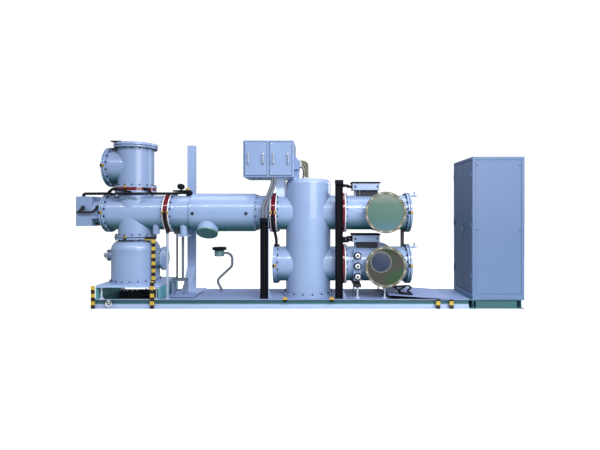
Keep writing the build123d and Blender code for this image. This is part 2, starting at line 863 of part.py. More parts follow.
# Breaker tank: an upright shell with a rounded head, a foot flange and four nozzles.
with BuildPart() as breaker_tank:
    bar(facing_up(0, 0, deck_top), breaker_radius, breaker_height)
    fillet(breaker_tank.edges().filter_by(GeomType.CIRCLE).sort_by(Axis.Z)[-1], breaker_knuckle)
    bar(facing_up(0, 0, deck_top), breaker_foot_radius, breaker_foot_thickness)
    for nozzle_axis in (upper_axis, lower_axis):
        bar(facing_x(-nozzle_reach, 0, nozzle_axis), tube_radius, 2 * nozzle_reach)
        for flange_x in (-nozzle_reach, nozzle_reach - flange_thickness):
            bar(facing_x(flange_x, 0, nozzle_axis), flange_radius, flange_thickness)
    with BuildSketch(Plane.XZ):
        with BuildLine():
            Polyline(
                (0, deck_top - overrun),
                (breaker_radius - breaker_wall, deck_top - overrun),
                (breaker_radius - breaker_wall, breaker_top - breaker_knuckle),
            )
            RadiusArc(
                (breaker_radius - breaker_wall, breaker_top - breaker_knuckle),
                (breaker_radius - breaker_knuckle, breaker_top - breaker_wall),
                -(breaker_knuckle - breaker_wall),
            )
            Polyline(
                (breaker_radius - breaker_knuckle, breaker_top - breaker_wall),
                (0, breaker_top - breaker_wall),
                (0, deck_top - overrun),
            )
        make_face()
    revolve(axis=Axis.Z, mode=Mode.SUBTRACT)
    for nozzle_axis in (upper_axis, lower_axis):
        bar(facing_x(-nozzle_reach - overrun, 0, nozzle_axis), tube_radius - tube_wall,
            2 * nozzle_reach + 2 * overrun, Mode.SUBTRACT)
write_piece(breaker_tank, "breaker_tank")


def bolt_holes(axis_height):
    """Bolt holes through one front busbar flange and its cover."""
    with BuildSketch(facing_y(busbar_port_x, front_cover_face - overrun, axis_height)) as holes:
        with PolarLocations(bolt_circle_radius, bolt_hole_count):
            Circle(bolt_hole_radius)
    extrude(holes.sketch, amount=front_cover_thickness + flange_thickness + 2 * overrun, mode=Mode.SUBTRACT)


def busbar_shell(axis_height):
    """A busbar tank: a tube along the skid crossed by a tube through it, with flanges."""
    bar(facing_x(busbar_left, 0, axis_height), tube_radius, busbar_right - busbar_left)
    bar(facing_y(busbar_port_x, -busbar_port_reach, axis_height), branch_radius, 2 * busbar_port_reach)
    bar(facing_x(busbar_left, 0, axis_height), flange_radius, flange_thickness)
    bar(facing_x(busbar_right - flange_thickness, 0, axis_height), flange_radius, flange_thickness)
    for flange_y in (-busbar_port_reach, busbar_port_reach - flange_thickness):
        bar(facing_y(busbar_port_x, flange_y, axis_height), flange_radius, flange_thickness)
    bar(facing_x(busbar_left - overrun, 0, axis_height), tube_radius - tube_wall,
        busbar_right - busbar_left + 2 * overrun, Mode.SUBTRACT)
    bar(facing_y(busbar_port_x, -busbar_port_reach - overrun, axis_height), branch_radius - tube_wall,
        2 * busbar_port_reach + 2 * overrun, Mode.SUBTRACT)


# Busbar tanks, one above the other.
with BuildPart() as busbar_upper:
    busbar_shell(upper_axis)
    bolt_holes(upper_axis)
write_piece(busbar_upper, "upper_busbar_tank")

with BuildPart() as busbar_lower:
    busbar_shell(lower_axis)
    bolt_holes(lower_axis)
write_piece(busbar_lower, "lower_busbar_tank")

# Front covers of the busbar tanks.
with BuildPart() as front_cover_upper:
    bar(facing_y(busbar_port_x, front_cover_face, upper_axis), flange_radius, front_cover_thickness)
    bolt_holes(upper_axis)
write_piece(front_cover_upper, "upper_front_cover")

with BuildPart() as front_cover_lower:
    bar(facing_y(busbar_port_x, front_cover_face, lower_axis), flange_radius, front_cover_thickness)
    bolt_holes(lower_axis)
write_piece(front_cover_lower, "lower_front_cover")

# Blind covers: on the tee's top and port, the breaker's lower left nozzle and the busbar tanks' backs.
with BuildPart() as blind_covers:
    bar(facing_up(tower_x, 0, tee_top), tee_top_flange_radius, tee_top_cover_thickness)
    bar(facing_x(tower_x - tee_port_reach - cover_thickness, 0, tee_port_axis), flange_radius,
        cover_thickness)
    bar(facing_x(-nozzle_reach - blind_thickness, 0, lower_axis), flange_radius, blind_thickness)
    for cover_axis in (upper_axis, lower_axis):
        bar(facing_y(busbar_port_x, busbar_port_reach, cover_axis), flange_radius, front_cover_thickness)
write_piece(blind_covers, "blind_covers")

# End covers of the busbar tanks, each with a small angle valve.
with BuildPart() as busbar_end_covers:
    for cover_axis in (upper_axis, lower_axis):
        bar(facing_x(busbar_right, 0, cover_axis), flange_radius, busbar_end_thickness)
        valve_z = cover_axis + end_valve_rise
        valve_x = busbar_right + busbar_end_thickness + end_valve_reach
        bar(facing_x(busbar_right, 0, valve_z), end_valve_radius, valve_x + end_valve_tail - busbar_right)
        bar(facing_up(valve_x, 0, valve_z), end_valve_radius, end_valve_height)
write_piece(busbar_end_covers, "busbar_end_covers")

# Busbar drives: a flat box on two feet shaped to the tube.
drive_centre = busbar_left + busbar_drive_station
with BuildPart() as busbar_drives:
    for drive_axis in (upper_axis, lower_axis):
        box_bottom = drive_axis + tube_radius + busbar_drive_rise
        block(
            (drive_centre - busbar_drive_width / 2, -busbar_drive_depth / 2, box_bottom),
            (drive_centre + busbar_drive_width / 2, busbar_drive_depth / 2, box_bottom + busbar_drive_height),
        )
        for side in (-1, 1):
            foot_x = drive_centre + side * busbar_drive_foot_share * busbar_drive_width
            block(
                (foot_x - busbar_drive_foot / 2, -busbar_drive_foot_depth / 2,
                 drive_axis + adapter_radius / 2),
                (foot_x + busbar_drive_foot / 2, busbar_drive_foot_depth / 2, box_bottom),
            )
        bar(facing_x(busbar_left, 0, drive_axis), tube_radius + seat_gap, busbar_right - busbar_left,
            Mode.SUBTRACT)
write_piece(busbar_drives, "busbar_drives")

with BuildPart() as drive_lids:
    for drive_axis in (upper_axis, lower_axis):
        lid_bottom = drive_axis + tube_radius + busbar_drive_rise + busbar_drive_height
        lid_half_width = busbar_drive_width / 2 + drive_lid_overhang
        lid_half_depth = busbar_drive_depth / 2 + drive_lid_overhang
        block(
            (drive_centre - lid_half_width, -lid_half_depth, lid_bottom),
            (drive_centre + lid_half_width, lid_half_depth, lid_bottom + drive_lid_thickness),
        )
write_piece(drive_lids, "busbar_drive_lids")

# Earthing terminals: a pad on the lower busbar tube with three bushings.
pad_x = busbar_left + pad_station
with BuildPart() as earthing_terminals:
    block(
        (pad_x - pad_width / 2, -pad_front, lower_axis - pad_height / 2),
        (pad_x + pad_width / 2, -pad_back, lower_axis + pad_height / 2),
    )
    bar(facing_x(busbar_left, 0, lower_axis), tube_radius + seat_gap, busbar_right - busbar_left,
        Mode.SUBTRACT)
    for step in (-1, 0, 1):
        bushing_z = lower_axis + step * bushing_pitch
        bar(facing_y(pad_x, -pad_front - bushing_length, bushing_z), bushing_radius, bushing_length)
        bar(facing_y(pad_x, -pad_front - bushing_core_length, bushing_z), bushing_core_radius,
            bushing_core_length)
write_piece(earthing_terminals, "earthing_terminals")

# Cradles: a cross bar on two jacks, with a saddle under the lower busbar tube.
cradle_top = lower_axis - tube_radius
cradle_bottom = cradle_top - cradle_height
with BuildPart() as cradles:
    for station in (cradle_left_station, cradle_right_station):
        cradle_x = busbar_left + station
        block(
            (cradle_x - cradle_width / 2, -cradle_depth / 2, cradle_bottom),
            (cradle_x + cradle_width / 2, cradle_depth / 2, cradle_top - seat_gap),
        )
        block(
            (cradle_x - cradle_width / 2, -saddle_share * cradle_depth, cradle_top - cradle_height / 2),
            (cradle_x + cradle_width / 2, saddle_share * cradle_depth, cradle_top + cradle_saddle),
        )
    bar(facing_x(busbar_left, 0, lower_axis), tube_radius + seat_gap, busbar_right - busbar_left,
        Mode.SUBTRACT)
    bar(facing_y(busbar_port_x, -busbar_port_reach, lower_axis), branch_radius + seat_gap,
        2 * busbar_port_reach, Mode.SUBTRACT)
write_piece(cradles, "busbar_cradles")

# Levelling jacks under the cradles and at the corners of the vessel table.
with BuildPart() as jacks:
    for jack_y in (-cradle_jack_reach, cradle_jack_reach):
        for station in (cradle_left_station, cradle_right_station):
            jack(busbar_left + station, jack_y, deck_top, cradle_bottom)
    for jack_y in (jack_inset - table_depth / 2, table_depth / 2 - jack_inset):
        for jack_x in (table_left + jack_inset, table_right - jack_inset):
            jack(jack_x, jack_y, rail_height, table_under)
write_piece(jacks, "levelling_jacks")

# Strut between the two busbar tubes.
strut_x = busbar_right - strut_inset
with BuildPart() as strut:
    block(
        (strut_x - strut_size / 2, -strut_size / 2, lower_axis + adapter_radius),
        (strut_x + strut_size / 2, strut_size / 2, upper_axis - adapter_radius),
    )
    for tube_axis in (upper_axis, lower_axis):
        bar(facing_x(busbar_left, 0, tube_axis), tube_radius + seat_gap, busbar_right - busbar_left,
            Mode.SUBTRACT)
write_piece(strut, "busbar_strut")

# Rear post with its knee, foot plate and an arm to the left adapter.
with BuildPart() as rear_post:
    block(
        (post_plate_left, post_plate_front, deck_top),
        (post_plate_left + post_plate_length, post_plate_front + post_plate_depth, deck_top + post_plate),
    )
    block(
        (post_left, post_front, deck_top + post_plate),
        (post_left + post_width, post_front + post_depth, post_top),
    )
    plate_across(
        [
            (post_front, post_knee),
            (post_toe, deck_top + post_plate),
            (post_front, deck_top + post_plate),
        ],
        post_left,
        post_width,
    )
    block(
        (post_left, adapter_radius / 2, upper_axis - post_arm_height / 2),
        (post_left + post_width, post_front, upper_axis + post_arm_height / 2),
    )
    bar(facing_x(left_adapter_end, 0, upper_axis), adapter_radius + seat_gap, left_adapter_length,
        Mode.SUBTRACT)
write_piece(rear_post, "rear_post")

# Rod support under the left adapter: saddle, two rods and a small stand.
with BuildPart() as rod_support:
    block(
        (saddle_centre - saddle_length / 2, -saddle_depth / 2, saddle_bottom),
        (saddle_centre + saddle_length / 2, saddle_depth / 2, upper_axis - adapter_radius + cradle_saddle),
    )
    bar(facing_x(left_adapter_end, 0, upper_axis), adapter_radius + seat_gap, left_adapter_length,
        Mode.SUBTRACT)
    for side in (-1, 1):
        rod_x = support_centre + side * support_rod_spread / 2
        bar(facing_up(rod_x, 0, stand_top), support_rod_radius, saddle_bottom - stand_top)
        leg_x = support_centre + side * (stand_length - stand_leg) / 2
        block(
            (leg_x - stand_leg / 2, -stand_depth / 2, deck_top),
            (leg_x + stand_leg / 2, stand_depth / 2, stand_top),
        )
    block(
        (support_centre - stand_length / 2, -stand_depth / 2, stand_top - stand_thickness),
        (support_centre + stand_length / 2, stand_depth / 2, stand_top),
    )
write_piece(rod_support, "rod_support")

# Operating mechanism box with its gland housing on the right.
mechanism_right = mechanism_left + mechanism_width
mechanism_top = mechanism_bottom + mechanism_height
with BuildPart() as mechanism_box:
    block(
        (mechanism_left, mechanism_front, mechanism_bottom),
        (mechanism_right, mechanism_front + mechanism_depth, mechanism_top),
    )
    fillet(mechanism_box.edges().filter_by(Axis.Z), mechanism_edge)
    gland_centre = mechanism_front + mechanism_depth / 2
    with BuildSketch(facing_y(mechanism_right, gland_centre - gland_depth / 2, 0)):
        with BuildLine():
            Polyline(
                (0, -gland_bottom),
                (gland_width, -gland_bottom),
                (gland_width, -gland_bottom - gland_height + gland_slope),
                (0, -gland_bottom - gland_height),
                close=True,
            )
        make_face()
    extrude(amount=gland_depth)
write_piece(mechanism_box, "mechanism_box")

# Two lift-off covers on the mechanism box, each with a pair of handles.
cover_panel_bottom = mechanism_bottom + (mechanism_height - cover_panel_height) / 2
with BuildPart() as mechanism_covers:
    for side in (-1, 1):
        panel_x = mechanism_left + mechanism_width / 2 + side * cover_panel_pitch / 2
        block(
            (panel_x - cover_panel_width / 2, mechanism_front - cover_panel_thickness, cover_panel_bottom),
            (panel_x + cover_panel_width / 2, mechanism_front, cover_panel_bottom + cover_panel_height),
        )
        for hand in (-1, 1):
            handle_x = panel_x + hand * handle_spread / 2
            handle_low = mechanism_bottom + (mechanism_height - handle_height) / 2
            handle_root = mechanism_front - cover_panel_thickness
            handle_front = handle_root - handle_reach
            hose(
                [
                    (handle_x, handle_root, handle_low),
                    (handle_x, handle_front, handle_low),
                    (handle_x, handle_front, handle_low + handle_height),
                    (handle_x, handle_root, handle_low + handle_height),
                ],
                handle_radius,
                handle_bend,
            )
write_piece(mechanism_covers, "mechanism_covers")

# Bracket that carries the mechanism box on the breaker's nozzle flange and head.
with BuildPart() as bracket:
    block(
        (bracket_left, -bracket_depth / 2, upper_axis + tube_radius / 2),
        (bracket_left + bracket_width, bracket_depth / 2, mechanism_bottom),
    )
    block(
        (bracket_left, -bracket_depth / 2, mechanism_bottom - bracket_shelf),
        (bracket_left + bracket_shelf_reach, bracket_depth / 2, mechanism_bottom),
    )
    bar(facing_x(-nozzle_reach - overrun, 0, upper_axis), flange_radius + seat_gap,
        flange_thickness + overrun + seat_gap, Mode.SUBTRACT)
    bar(facing_x(-nozzle_reach, 0, upper_axis), tube_radius + seat_gap, nozzle_reach, Mode.SUBTRACT)
    bar(facing_up(0, 0, deck_top), breaker_radius + seat_gap, breaker_height, Mode.SUBTRACT)
write_piece(bracket, "mechanism_bracket")

# Cable troughs: open channels on slim posts, capped at the top, with their cables inside.
trough_back = trough_front + trough_depth
trough_sides = ((trough_left_start, trough_left_top), (trough_right_start, trough_right_top))
with BuildPart() as troughs:
    for start, top in trough_sides:
        block((start, trough_front, deck_top), (start + trough_width, trough_back, top))
        block(
            (start + trough_wall, trough_front - overrun, deck_top - overrun),
            (start + trough_width - trough_wall, trough_back - trough_wall, top - trough_wall),
            Mode.SUBTRACT,
        )
        block(
            (start - trough_cap_overhang, trough_front - trough_cap_overhang, top - trough_cap_height),
            (start + trough_width + trough_cap_overhang, trough_front, top),
        )
write_piece(troughs, "cable_troughs")

with BuildPart() as trough_posts:
    for start, top in trough_sides:
        post_right = start + trough_width + trough_wall
        block((post_right - trough_post_width, trough_back, deck_top),
              (post_right, trough_back + trough_post_depth, top))
        with BuildSketch(facing_y(post_right, trough_back, 0)) as foot:
            with BuildLine():
                Polyline(
                    (0, -deck_top),
                    (trough_foot_spread, -deck_top),
                    (0, -deck_top - trough_foot_height),
                    close=True,
                )
            make_face()
        extrude(foot.sketch, amount=trough_post_depth)
write_piece(trough_posts, "trough_posts")

# Gas gauge, and the gooseneck that holds it over the deck.
with BuildPart() as gauge:
    bar(facing_up(gauge_x, gauge_y, gauge_bottom), gauge_body_radius, gauge_body_height)
    bar(facing_up(gauge_x, gauge_y, gauge_bottom + gauge_body_height), gauge_cap_radius, gauge_cap_height)
write_piece(gauge, "gas_gauge")

with BuildPart() as gooseneck:
    neck_x = gauge_x + gauge_body_radius
    neck_z = gauge_bottom + gauge_body_height / 2
    hose(
        [
            (neck_x, gauge_y, neck_z),
            (neck_x + gooseneck_reach, gauge_y, neck_z),
            (neck_x + gooseneck_reach, gauge_y, neck_z - gooseneck_fall),
            (gauge_x - gooseneck_low_offset, gauge_y, deck_top + gooseneck_low_rise),
            (gauge_x + gooseneck_foot_offset, gauge_y, deck_top + gooseneck_foot_rise),
            (gauge_x + gooseneck_foot_offset, gauge_y, deck_top),
        ],
        gooseneck_radius,
        gooseneck_bend,
    )
write_piece(gooseneck, "gauge_gooseneck")

# Gas monitor: a stem on the left adapter with a side pipe and two round bodies.
monitor_base = upper_axis + adapter_radius
with BuildPart() as monitor:
    bar(facing_up(monitor_x, 0, upper_axis + tube_radius / 2), monitor_stem_radius,
        tube_radius / 2 + monitor_stem_height)
    bar(facing_x(left_adapter_end, 0, upper_axis), adapter_radius + seat_gap, left_adapter_length,
        Mode.SUBTRACT)
    bar(facing_x(monitor_x - monitor_pipe_length, 0, monitor_base + monitor_pipe_rise), monitor_pipe_radius,
        monitor_pipe_length)
    bar(facing_y(monitor_x - monitor_body_offset, -monitor_body_length / 2,
                 monitor_base + monitor_body_rise), monitor_body_radius, monitor_body_length)
    bar(facing_up(monitor_x - monitor_body_offset, 0, monitor_base + monitor_pipe_rise),
        monitor_pipe_radius, monitor_body_rise - monitor_pipe_rise)
    bar(facing_y(monitor_x + relay_offset, -relay_front, monitor_base + relay_rise), relay_radius,
        relay_front)
write_piece(monitor, "gas_monitor")

# Cable riser: a stiff pipe from the deck up to the left spacer.
with BuildPart() as riser:
    bar(facing_up(riser_x, riser_y, deck_top), riser_foot_radius, riser_foot_thickness)
    bar(facing_up(riser_x, riser_y, deck_top), conduit_radius, riser_top - deck_top)
write_piece(riser, "cable_riser")

# Conduits: each runs whole from one housing to the next. The cables stand inside the troughs.
spacer_z = cross_top + spacer_thickness / 2
spacer_hose_reach = math.sqrt(spacer_radius**2 - (spacer_hose_y + conduit_radius) ** 2) + seat_gap
drive_top = drive_bottom + drive_box_height
drive_hose_z = drive_top + drive_hose_rise
relay_x = monitor_x + relay_offset
relay_left = relay_x - relay_radius - seat_gap
relay_z = monitor_base + relay_rise
left_spacer_x = cross_right + spacer_thickness / 2
nozzle_hose_x = flange_thickness / 2 - nozzle_reach
right_spacer_x = right_adapter_end + spacer_thickness / 2
nozzle_seat = math.sqrt(flange_radius**2 - (nozzle_hose_seat + side_hose_radius) ** 2) + seat_gap
nozzle_hose_top = upper_axis - nozzle_hose_lead
nozzle_hose_end = lower_axis + nozzle_seat
trough_middle = trough_front + trough_depth / 2
mechanism_hose_y = mechanism_front + mechanism_hose_inset
gland_right = mechanism_right + gland_width
gland_hose_z = gland_bottom + gland_hose_share * gland_height
trough_right_face = trough_right_start + trough_width + seat_gap
drive_left_face = drive_centre - busbar_drive_width / 2 - seat_gap
bundle_start = busbar_left + cradle_right_station + cradle_width / 2 + seat_gap
bundle_top = (cradle_top + cradle_bottom) / 2
tilt_slope = math.tan(math.radians(loose_plate_tilt))
tilt_rise = (deck_thickness + bundle_radius + seat_gap) / math.cos(math.radians(loose_plate_tilt))


def plate_level(x):
    """Height of a cable's middle where it lies on the loose plate."""
    return rail_height + (loose_plate_end - x) * tilt_slope + tilt_rise


with BuildPart() as conduits:
    spacer_left_end = tower_x - spacer_hose_reach
    hose(
        [
            (neck_end - drive_hose_inset, drive_hose_y, drive_top),
            (neck_end - drive_hose_inset, drive_hose_y, drive_hose_z),
            (spacer_left_end - spacer_hose_lead - spacer_hose_slope, spacer_hose_y, drive_hose_z),
            (spacer_left_end - spacer_hose_lead, spacer_hose_y, spacer_z),
            (spacer_left_end, spacer_hose_y, spacer_z),
        ],
        conduit_radius,
        tight_bend,
    )
    spacer_right_end = tower_x + spacer_hose_reach
    hose(
        [
            (spacer_right_end, spacer_hose_y, spacer_z),
            (spacer_right_end + spacer_hose_lead, spacer_hose_y, spacer_z),
            (spacer_right_end + spacer_hose_lead + spacer_hose_slope, spacer_hose_y, drive_hose_z),
            (relay_left - relay_hose_lead - relay_hose_run, spacer_hose_y, drive_hose_z),
            (relay_left - relay_hose_lead, relay_hose_y, relay_z),
            (relay_left, relay_hose_y, relay_z),
        ],
        conduit_radius,
        tight_bend,
    )
    hose(
        [
            (riser_x, riser_y, riser_top),
            (riser_x, riser_y, riser_top + left_hose_rise),
            (left_spacer_x, left_hose_y, upper_axis - left_hose_drop),
            (left_spacer_x, left_hose_y, upper_axis),
        ],
        side_hose_radius,
        side_bend,
    )
    hose(
        [
            (right_spacer_x, nozzle_hose_y, nozzle_hose_top),
            (right_spacer_x, nozzle_hose_y, nozzle_hose_top - nozzle_hose_drop),
            (nozzle_hose_x, nozzle_hose_seat, nozzle_hose_end + nozzle_hose_rise),
            (nozzle_hose_x, nozzle_hose_seat, nozzle_hose_end),
        ],
        side_hose_radius,
        side_bend,
    )
    for number, end_share in ((0, trough_hose_share), (1, 1 - trough_hose_share)):
        hose_x = mechanism_left + mechanism_hose_station + number * mechanism_hose_pitch
        end_x = trough_left_start + end_share * trough_width
        hose(
            [
                (hose_x, mechanism_hose_y, mechanism_bottom),
                (hose_x, mechanism_hose_y, mechanism_bottom - mechanism_hose_drop),
                (end_x, trough_middle, trough_left_top + trough_hose_rise),
                (end_x, trough_middle, trough_left_top),
            ],
            conduit_radius,
            drop_bend,
        )
    for step in (-1, 0, 1):
        hose_y = gland_centre + step * gland_hose_pitch
        hose(
            [
                (gland_right, hose_y, gland_hose_z),
                (gland_hose_x, hose_y, gland_hose_z),
                (gland_hose_x, hose_y, breaker_top),
            ],
            conduit_radius,
            gland_hose_bend,
        )
    upper_hose_z = upper_axis + tube_radius + busbar_drive_rise + busbar_drive_height / 2
    lower_hose_z = lower_axis + tube_radius + busbar_drive_rise + busbar_drive_height / 2
    for hose_z in (upper_hose_z, lower_hose_z - busbar_hose_pitch / 2, lower_hose_z + busbar_hose_pitch / 2):
        hose(
            [
                (trough_right_face, trough_middle, hose_z),
                (trough_right_face + busbar_hose_lead, trough_middle, hose_z),
                (drive_left_face - busbar_hose_lead, busbar_hose_y, hose_z),
                (drive_left_face, busbar_hose_y, hose_z),
            ],
            conduit_radius,
            conduit_bend,
        )
    for number in range(bundle_count):
        cable_y = bundle_y + number * bundle_pitch
        hose(
            [
                (bundle_start, cable_y, bundle_top),
                (bundle_start + bundle_lead, cable_y, bundle_top),
                (bundle_landing, cable_y, plate_level(bundle_landing)),
                (bundle_end, cable_y, plate_level(bundle_end)),
            ],
            bundle_radius,
            bundle_bend,
        )
    for start, top in trough_sides:
        for number in range(trough_cable_count):
            cable_x = start + trough_width * (number + 1) / (trough_cable_count + 1)
            cable_y = trough_back - trough_wall - trough_cable_radius - seat_gap
            bar(facing_up(cable_x, cable_y, deck_top), trough_cable_radius - 2 * seat_gap,
                top - trough_wall - deck_top)
write_piece(conduits, "conduits")

# Control cabinet: plinth, corner posts, roof and fixed panels.
with BuildPart() as cabinet_base:
    block((cabinet_left, cabinet_front, rail_height), (half_length, cabinet_back, cabinet_floor))
    block(
        (cabinet_left + cabinet_sheet, cabinet_front + cabinet_sheet, rail_height - overrun),
        (half_length - cabinet_sheet, cabinet_back - cabinet_sheet, cabinet_floor - cabinet_sheet),
        Mode.SUBTRACT,
    )
write_piece(cabinet_base, "cabinet_plinth")

with BuildPart() as cabinet_cap:
    block((cabinet_left, cabinet_front, cabinet_eaves), (half_length, cabinet_back, cabinet_top))
    block(
        (cabinet_left + cabinet_sheet, cabinet_front + cabinet_sheet, cabinet_eaves - overrun),
        (half_length - cabinet_sheet, cabinet_back - cabinet_sheet, cabinet_top - cabinet_sheet),
        Mode.SUBTRACT,
    )
    for post_x in (cabinet_left, half_length - cabinet_post):
        for post_y in (cabinet_front, cabinet_back - cabinet_post):
            block(
                (post_x, post_y, cabinet_eaves),
                (post_x + cabinet_post, post_y + cabinet_post, cabinet_top),
            )
write_piece(cabinet_cap, "cabinet_roof")

# Doors of the left side, hinged at the front and rear posts.
hinge_x = cabinet_left - hinge_offset
door_low = cabinet_floor + door_gap
door_high = cabinet_eaves - door_gap
door_height = door_high - door_low
door_front_edge = cabinet_front + cabinet_post + door_gap
door_back_edge = cabinet_back - cabinet_post - door_gap
door_middle = (cabinet_front + cabinet_back) / 2
door_outside = cabinet_left + door_recess


def hinge_bars(hinge_y, rise, radius, length, mode=Mode.ADD):
    """Three round bars on a door's turning line, one at each hinge."""
    for share in hinge_shares:
        bar_z = door_low + share * door_height + rise
        bar(facing_up(hinge_x, hinge_y, bar_z), radius, length, mode)


with BuildPart() as cabinet_posts:
    for post_x in (cabinet_left, half_length - cabinet_post):
        for post_y in (cabinet_front, cabinet_back - cabinet_post):
            block(
                (post_x, post_y, cabinet_floor),
                (post_x + cabinet_post, post_y + cabinet_post, cabinet_eaves),
            )
    for hinge_y, inner in ((door_front_edge - door_gap / 2, -1), (door_back_edge + door_gap / 2, 1)):
        hinge_bars(hinge_y, 0, hinge_radius, hinge_length)
        hinge_bars(hinge_y, hinge_length, hinge_pin_radius, hinge_pin_length)
        for share in hinge_shares:
            leaf_z = door_low + share * door_height
            near_y = hinge_y + inner * (hinge_radius + door_gap)
            block(
                (hinge_x - hinge_radius / 2, min(hinge_y, near_y), leaf_z),
                (cabinet_left, max(hinge_y, near_y), leaf_z + hinge_length),
            )
write_piece(cabinet_posts, "cabinet_posts")


def door_leaf(hinge_y, edge_y, free_y):
    """A door leaf with the upper half of each hinge."""
    low_y = min(edge_y, free_y)
    high_y = max(edge_y, free_y)
    block((door_outside, low_y, door_low), (door_outside + door_thickness, high_y, door_high))
    hinge_bars(hinge_y, hinge_length + hinge_gap, hinge_radius, hinge_length)
    inner = 1 if free_y > edge_y else -1
    for share in hinge_shares:
        leaf_z = door_low + share * door_height + hinge_length + hinge_gap
        far_y = edge_y + inner * (hinge_radius + door_gap)
        block(
            (hinge_x - hinge_radius / 2, min(hinge_y, far_y), leaf_z),
            (hinge_x + hinge_radius / 2, max(hinge_y, far_y), leaf_z + hinge_length),
        )
        block(
            (hinge_x - hinge_radius / 2, min(edge_y, far_y), leaf_z),
            (door_outside, max(edge_y, far_y), leaf_z + hinge_length),
        )
    hinge_bars(hinge_y, hinge_length, hinge_pin_radius + hinge_gap, hinge_pin_length + hinge_gap,
               Mode.SUBTRACT)


with BuildPart() as door_front:
    door_leaf(door_front_edge - door_gap / 2, door_front_edge, door_middle - door_gap / 2)
    plate_y = door_middle - door_gap / 2 - handle_plate_inset
    plate_z = cabinet_floor + handle_plate_height_share * (cabinet_eaves - cabinet_floor)
    block(
        (door_outside - handle_plate_thickness, plate_y - handle_plate_width,
         plate_z - handle_plate_height / 2),
        (door_outside, plate_y, plate_z + handle_plate_height / 2),
    )
write_piece(door_front, "cabinet_door_front")

with BuildPart() as door_rear:
    door_leaf(door_back_edge + door_gap / 2, door_back_edge, door_middle + door_gap / 2)
write_piece(door_rear, "cabinet_door_rear")

# Fixed panels on the front, the back and the right side.
panel_low = cabinet_floor
panel_high = cabinet_eaves
panel_left = cabinet_left + cabinet_post
panel_right = half_length - cabinet_post
with BuildPart() as cabinet_panels:
    front_panel_y = cabinet_front + panel_recess
    block((panel_left, front_panel_y, panel_low), (panel_right, front_panel_y + panel_thickness, panel_high))
    back_panel_y = cabinet_back - panel_recess
    block((panel_left, back_panel_y - panel_thickness, panel_low), (panel_right, back_panel_y, panel_high))
    side_panel_x = half_length - panel_recess
    block(
        (side_panel_x - panel_thickness, cabinet_front + cabinet_post, panel_low),
        (side_panel_x, cabinet_back - cabinet_post, panel_high),
    )
write_piece(cabinet_panels, "cabinet_panels")

# Earth bars: strips down the front of the skid and one from the tank flange to the table.
bar_face = -half_depth - earth_bar_thickness
with BuildPart() as earth_bars:
    for strip_x, strip_top in (
        (earth_post_left_x, earth_post_left_top),
        (earth_post_right_x, earth_post_right_top),
        (earth_stub_left_x, deck_top),
        (earth_stub_right_x, deck_top),
    ):
        block(
            (strip_x - earth_bar_width / 2, bar_face, 0),
            (strip_x + earth_bar_width / 2, -half_depth, strip_top),
        )
    block(
        (earth_strip_x - earth_bar_width / 2, earth_strip_y - earth_bar_thickness, table_top),
        (earth_strip_x + earth_bar_width / 2, earth_strip_y, earth_strip_top),
    )
    block(
        (tower_x, earth_strip_y - earth_bar_thickness, earth_strip_top - earth_tab),
        (earth_strip_x, earth_strip_y, earth_strip_top),
    )
    bar(facing_up(tower_x, 0, table_top), flange_radius + seat_gap, earth_strip_top, Mode.SUBTRACT)
write_piece(earth_bars, "earth_bars")
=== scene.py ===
# %% [markdown]
# Loading the bay. The CAD solids come in as one object per piece, grouped on the
# bodies that move: the bay itself, two levers, the link rod and two door leaves.
# They could be modelled again by hand, but then sizes would drift, so they are kept
# as they are and only dressed. A helper reads the box of any one piece.

# %% Load the frame
import json
import math
import bpy
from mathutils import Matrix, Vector


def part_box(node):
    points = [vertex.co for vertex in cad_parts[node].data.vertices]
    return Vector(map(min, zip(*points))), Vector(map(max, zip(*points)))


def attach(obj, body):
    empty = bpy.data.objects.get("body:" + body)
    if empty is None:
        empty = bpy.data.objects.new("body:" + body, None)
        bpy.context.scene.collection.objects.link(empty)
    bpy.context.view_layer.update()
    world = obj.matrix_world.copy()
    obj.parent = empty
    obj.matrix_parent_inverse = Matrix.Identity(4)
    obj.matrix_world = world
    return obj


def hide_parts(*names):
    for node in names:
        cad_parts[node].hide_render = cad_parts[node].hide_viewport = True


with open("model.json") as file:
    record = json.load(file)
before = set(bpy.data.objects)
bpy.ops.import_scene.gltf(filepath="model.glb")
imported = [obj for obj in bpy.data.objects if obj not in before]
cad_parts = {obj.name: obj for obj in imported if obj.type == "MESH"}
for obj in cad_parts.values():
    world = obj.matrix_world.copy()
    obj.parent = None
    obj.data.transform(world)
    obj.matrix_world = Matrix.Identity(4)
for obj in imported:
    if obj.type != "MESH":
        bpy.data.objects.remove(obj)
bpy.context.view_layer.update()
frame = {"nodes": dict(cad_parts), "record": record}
nodes = frame["nodes"]

# %% [markdown]
# The camera. The photograph is a view straight along the depth of the skid: every edge
# that runs away from the viewer points at one spot a little right of the middle and a
# little above it. A turned camera would tilt the cabinet's uprights, so the lens looks
# level along +Y and a small shift puts that spot where it belongs.

# %% Camera
scene = bpy.context.scene
picture_width = 600.0
picture_height = 450.0
vanishing_x = 316.0
vanishing_y = 212.0
focal_pixels = 420.0
sensor_width = 36.0
lens_data = bpy.data.cameras.new("bay camera")
lens_data.sensor_width = sensor_width
lens_data.lens = focal_pixels / picture_width * sensor_width
lens_data.shift_x = -(vanishing_x - picture_width / 2) / picture_width
lens_data.shift_y = (vanishing_y - picture_height / 2) / picture_width
camera = bpy.data.objects.new("bay camera", lens_data)
scene.collection.objects.link(camera)
camera.location = (0.127, -6.91, 1.49)
camera.rotation_euler = (math.radians(90), 0, 0)
scene.camera = camera
print("lens", round(lens_data.lens, 2), "mm, camera at", tuple(round(v, 3) for v in camera.location))

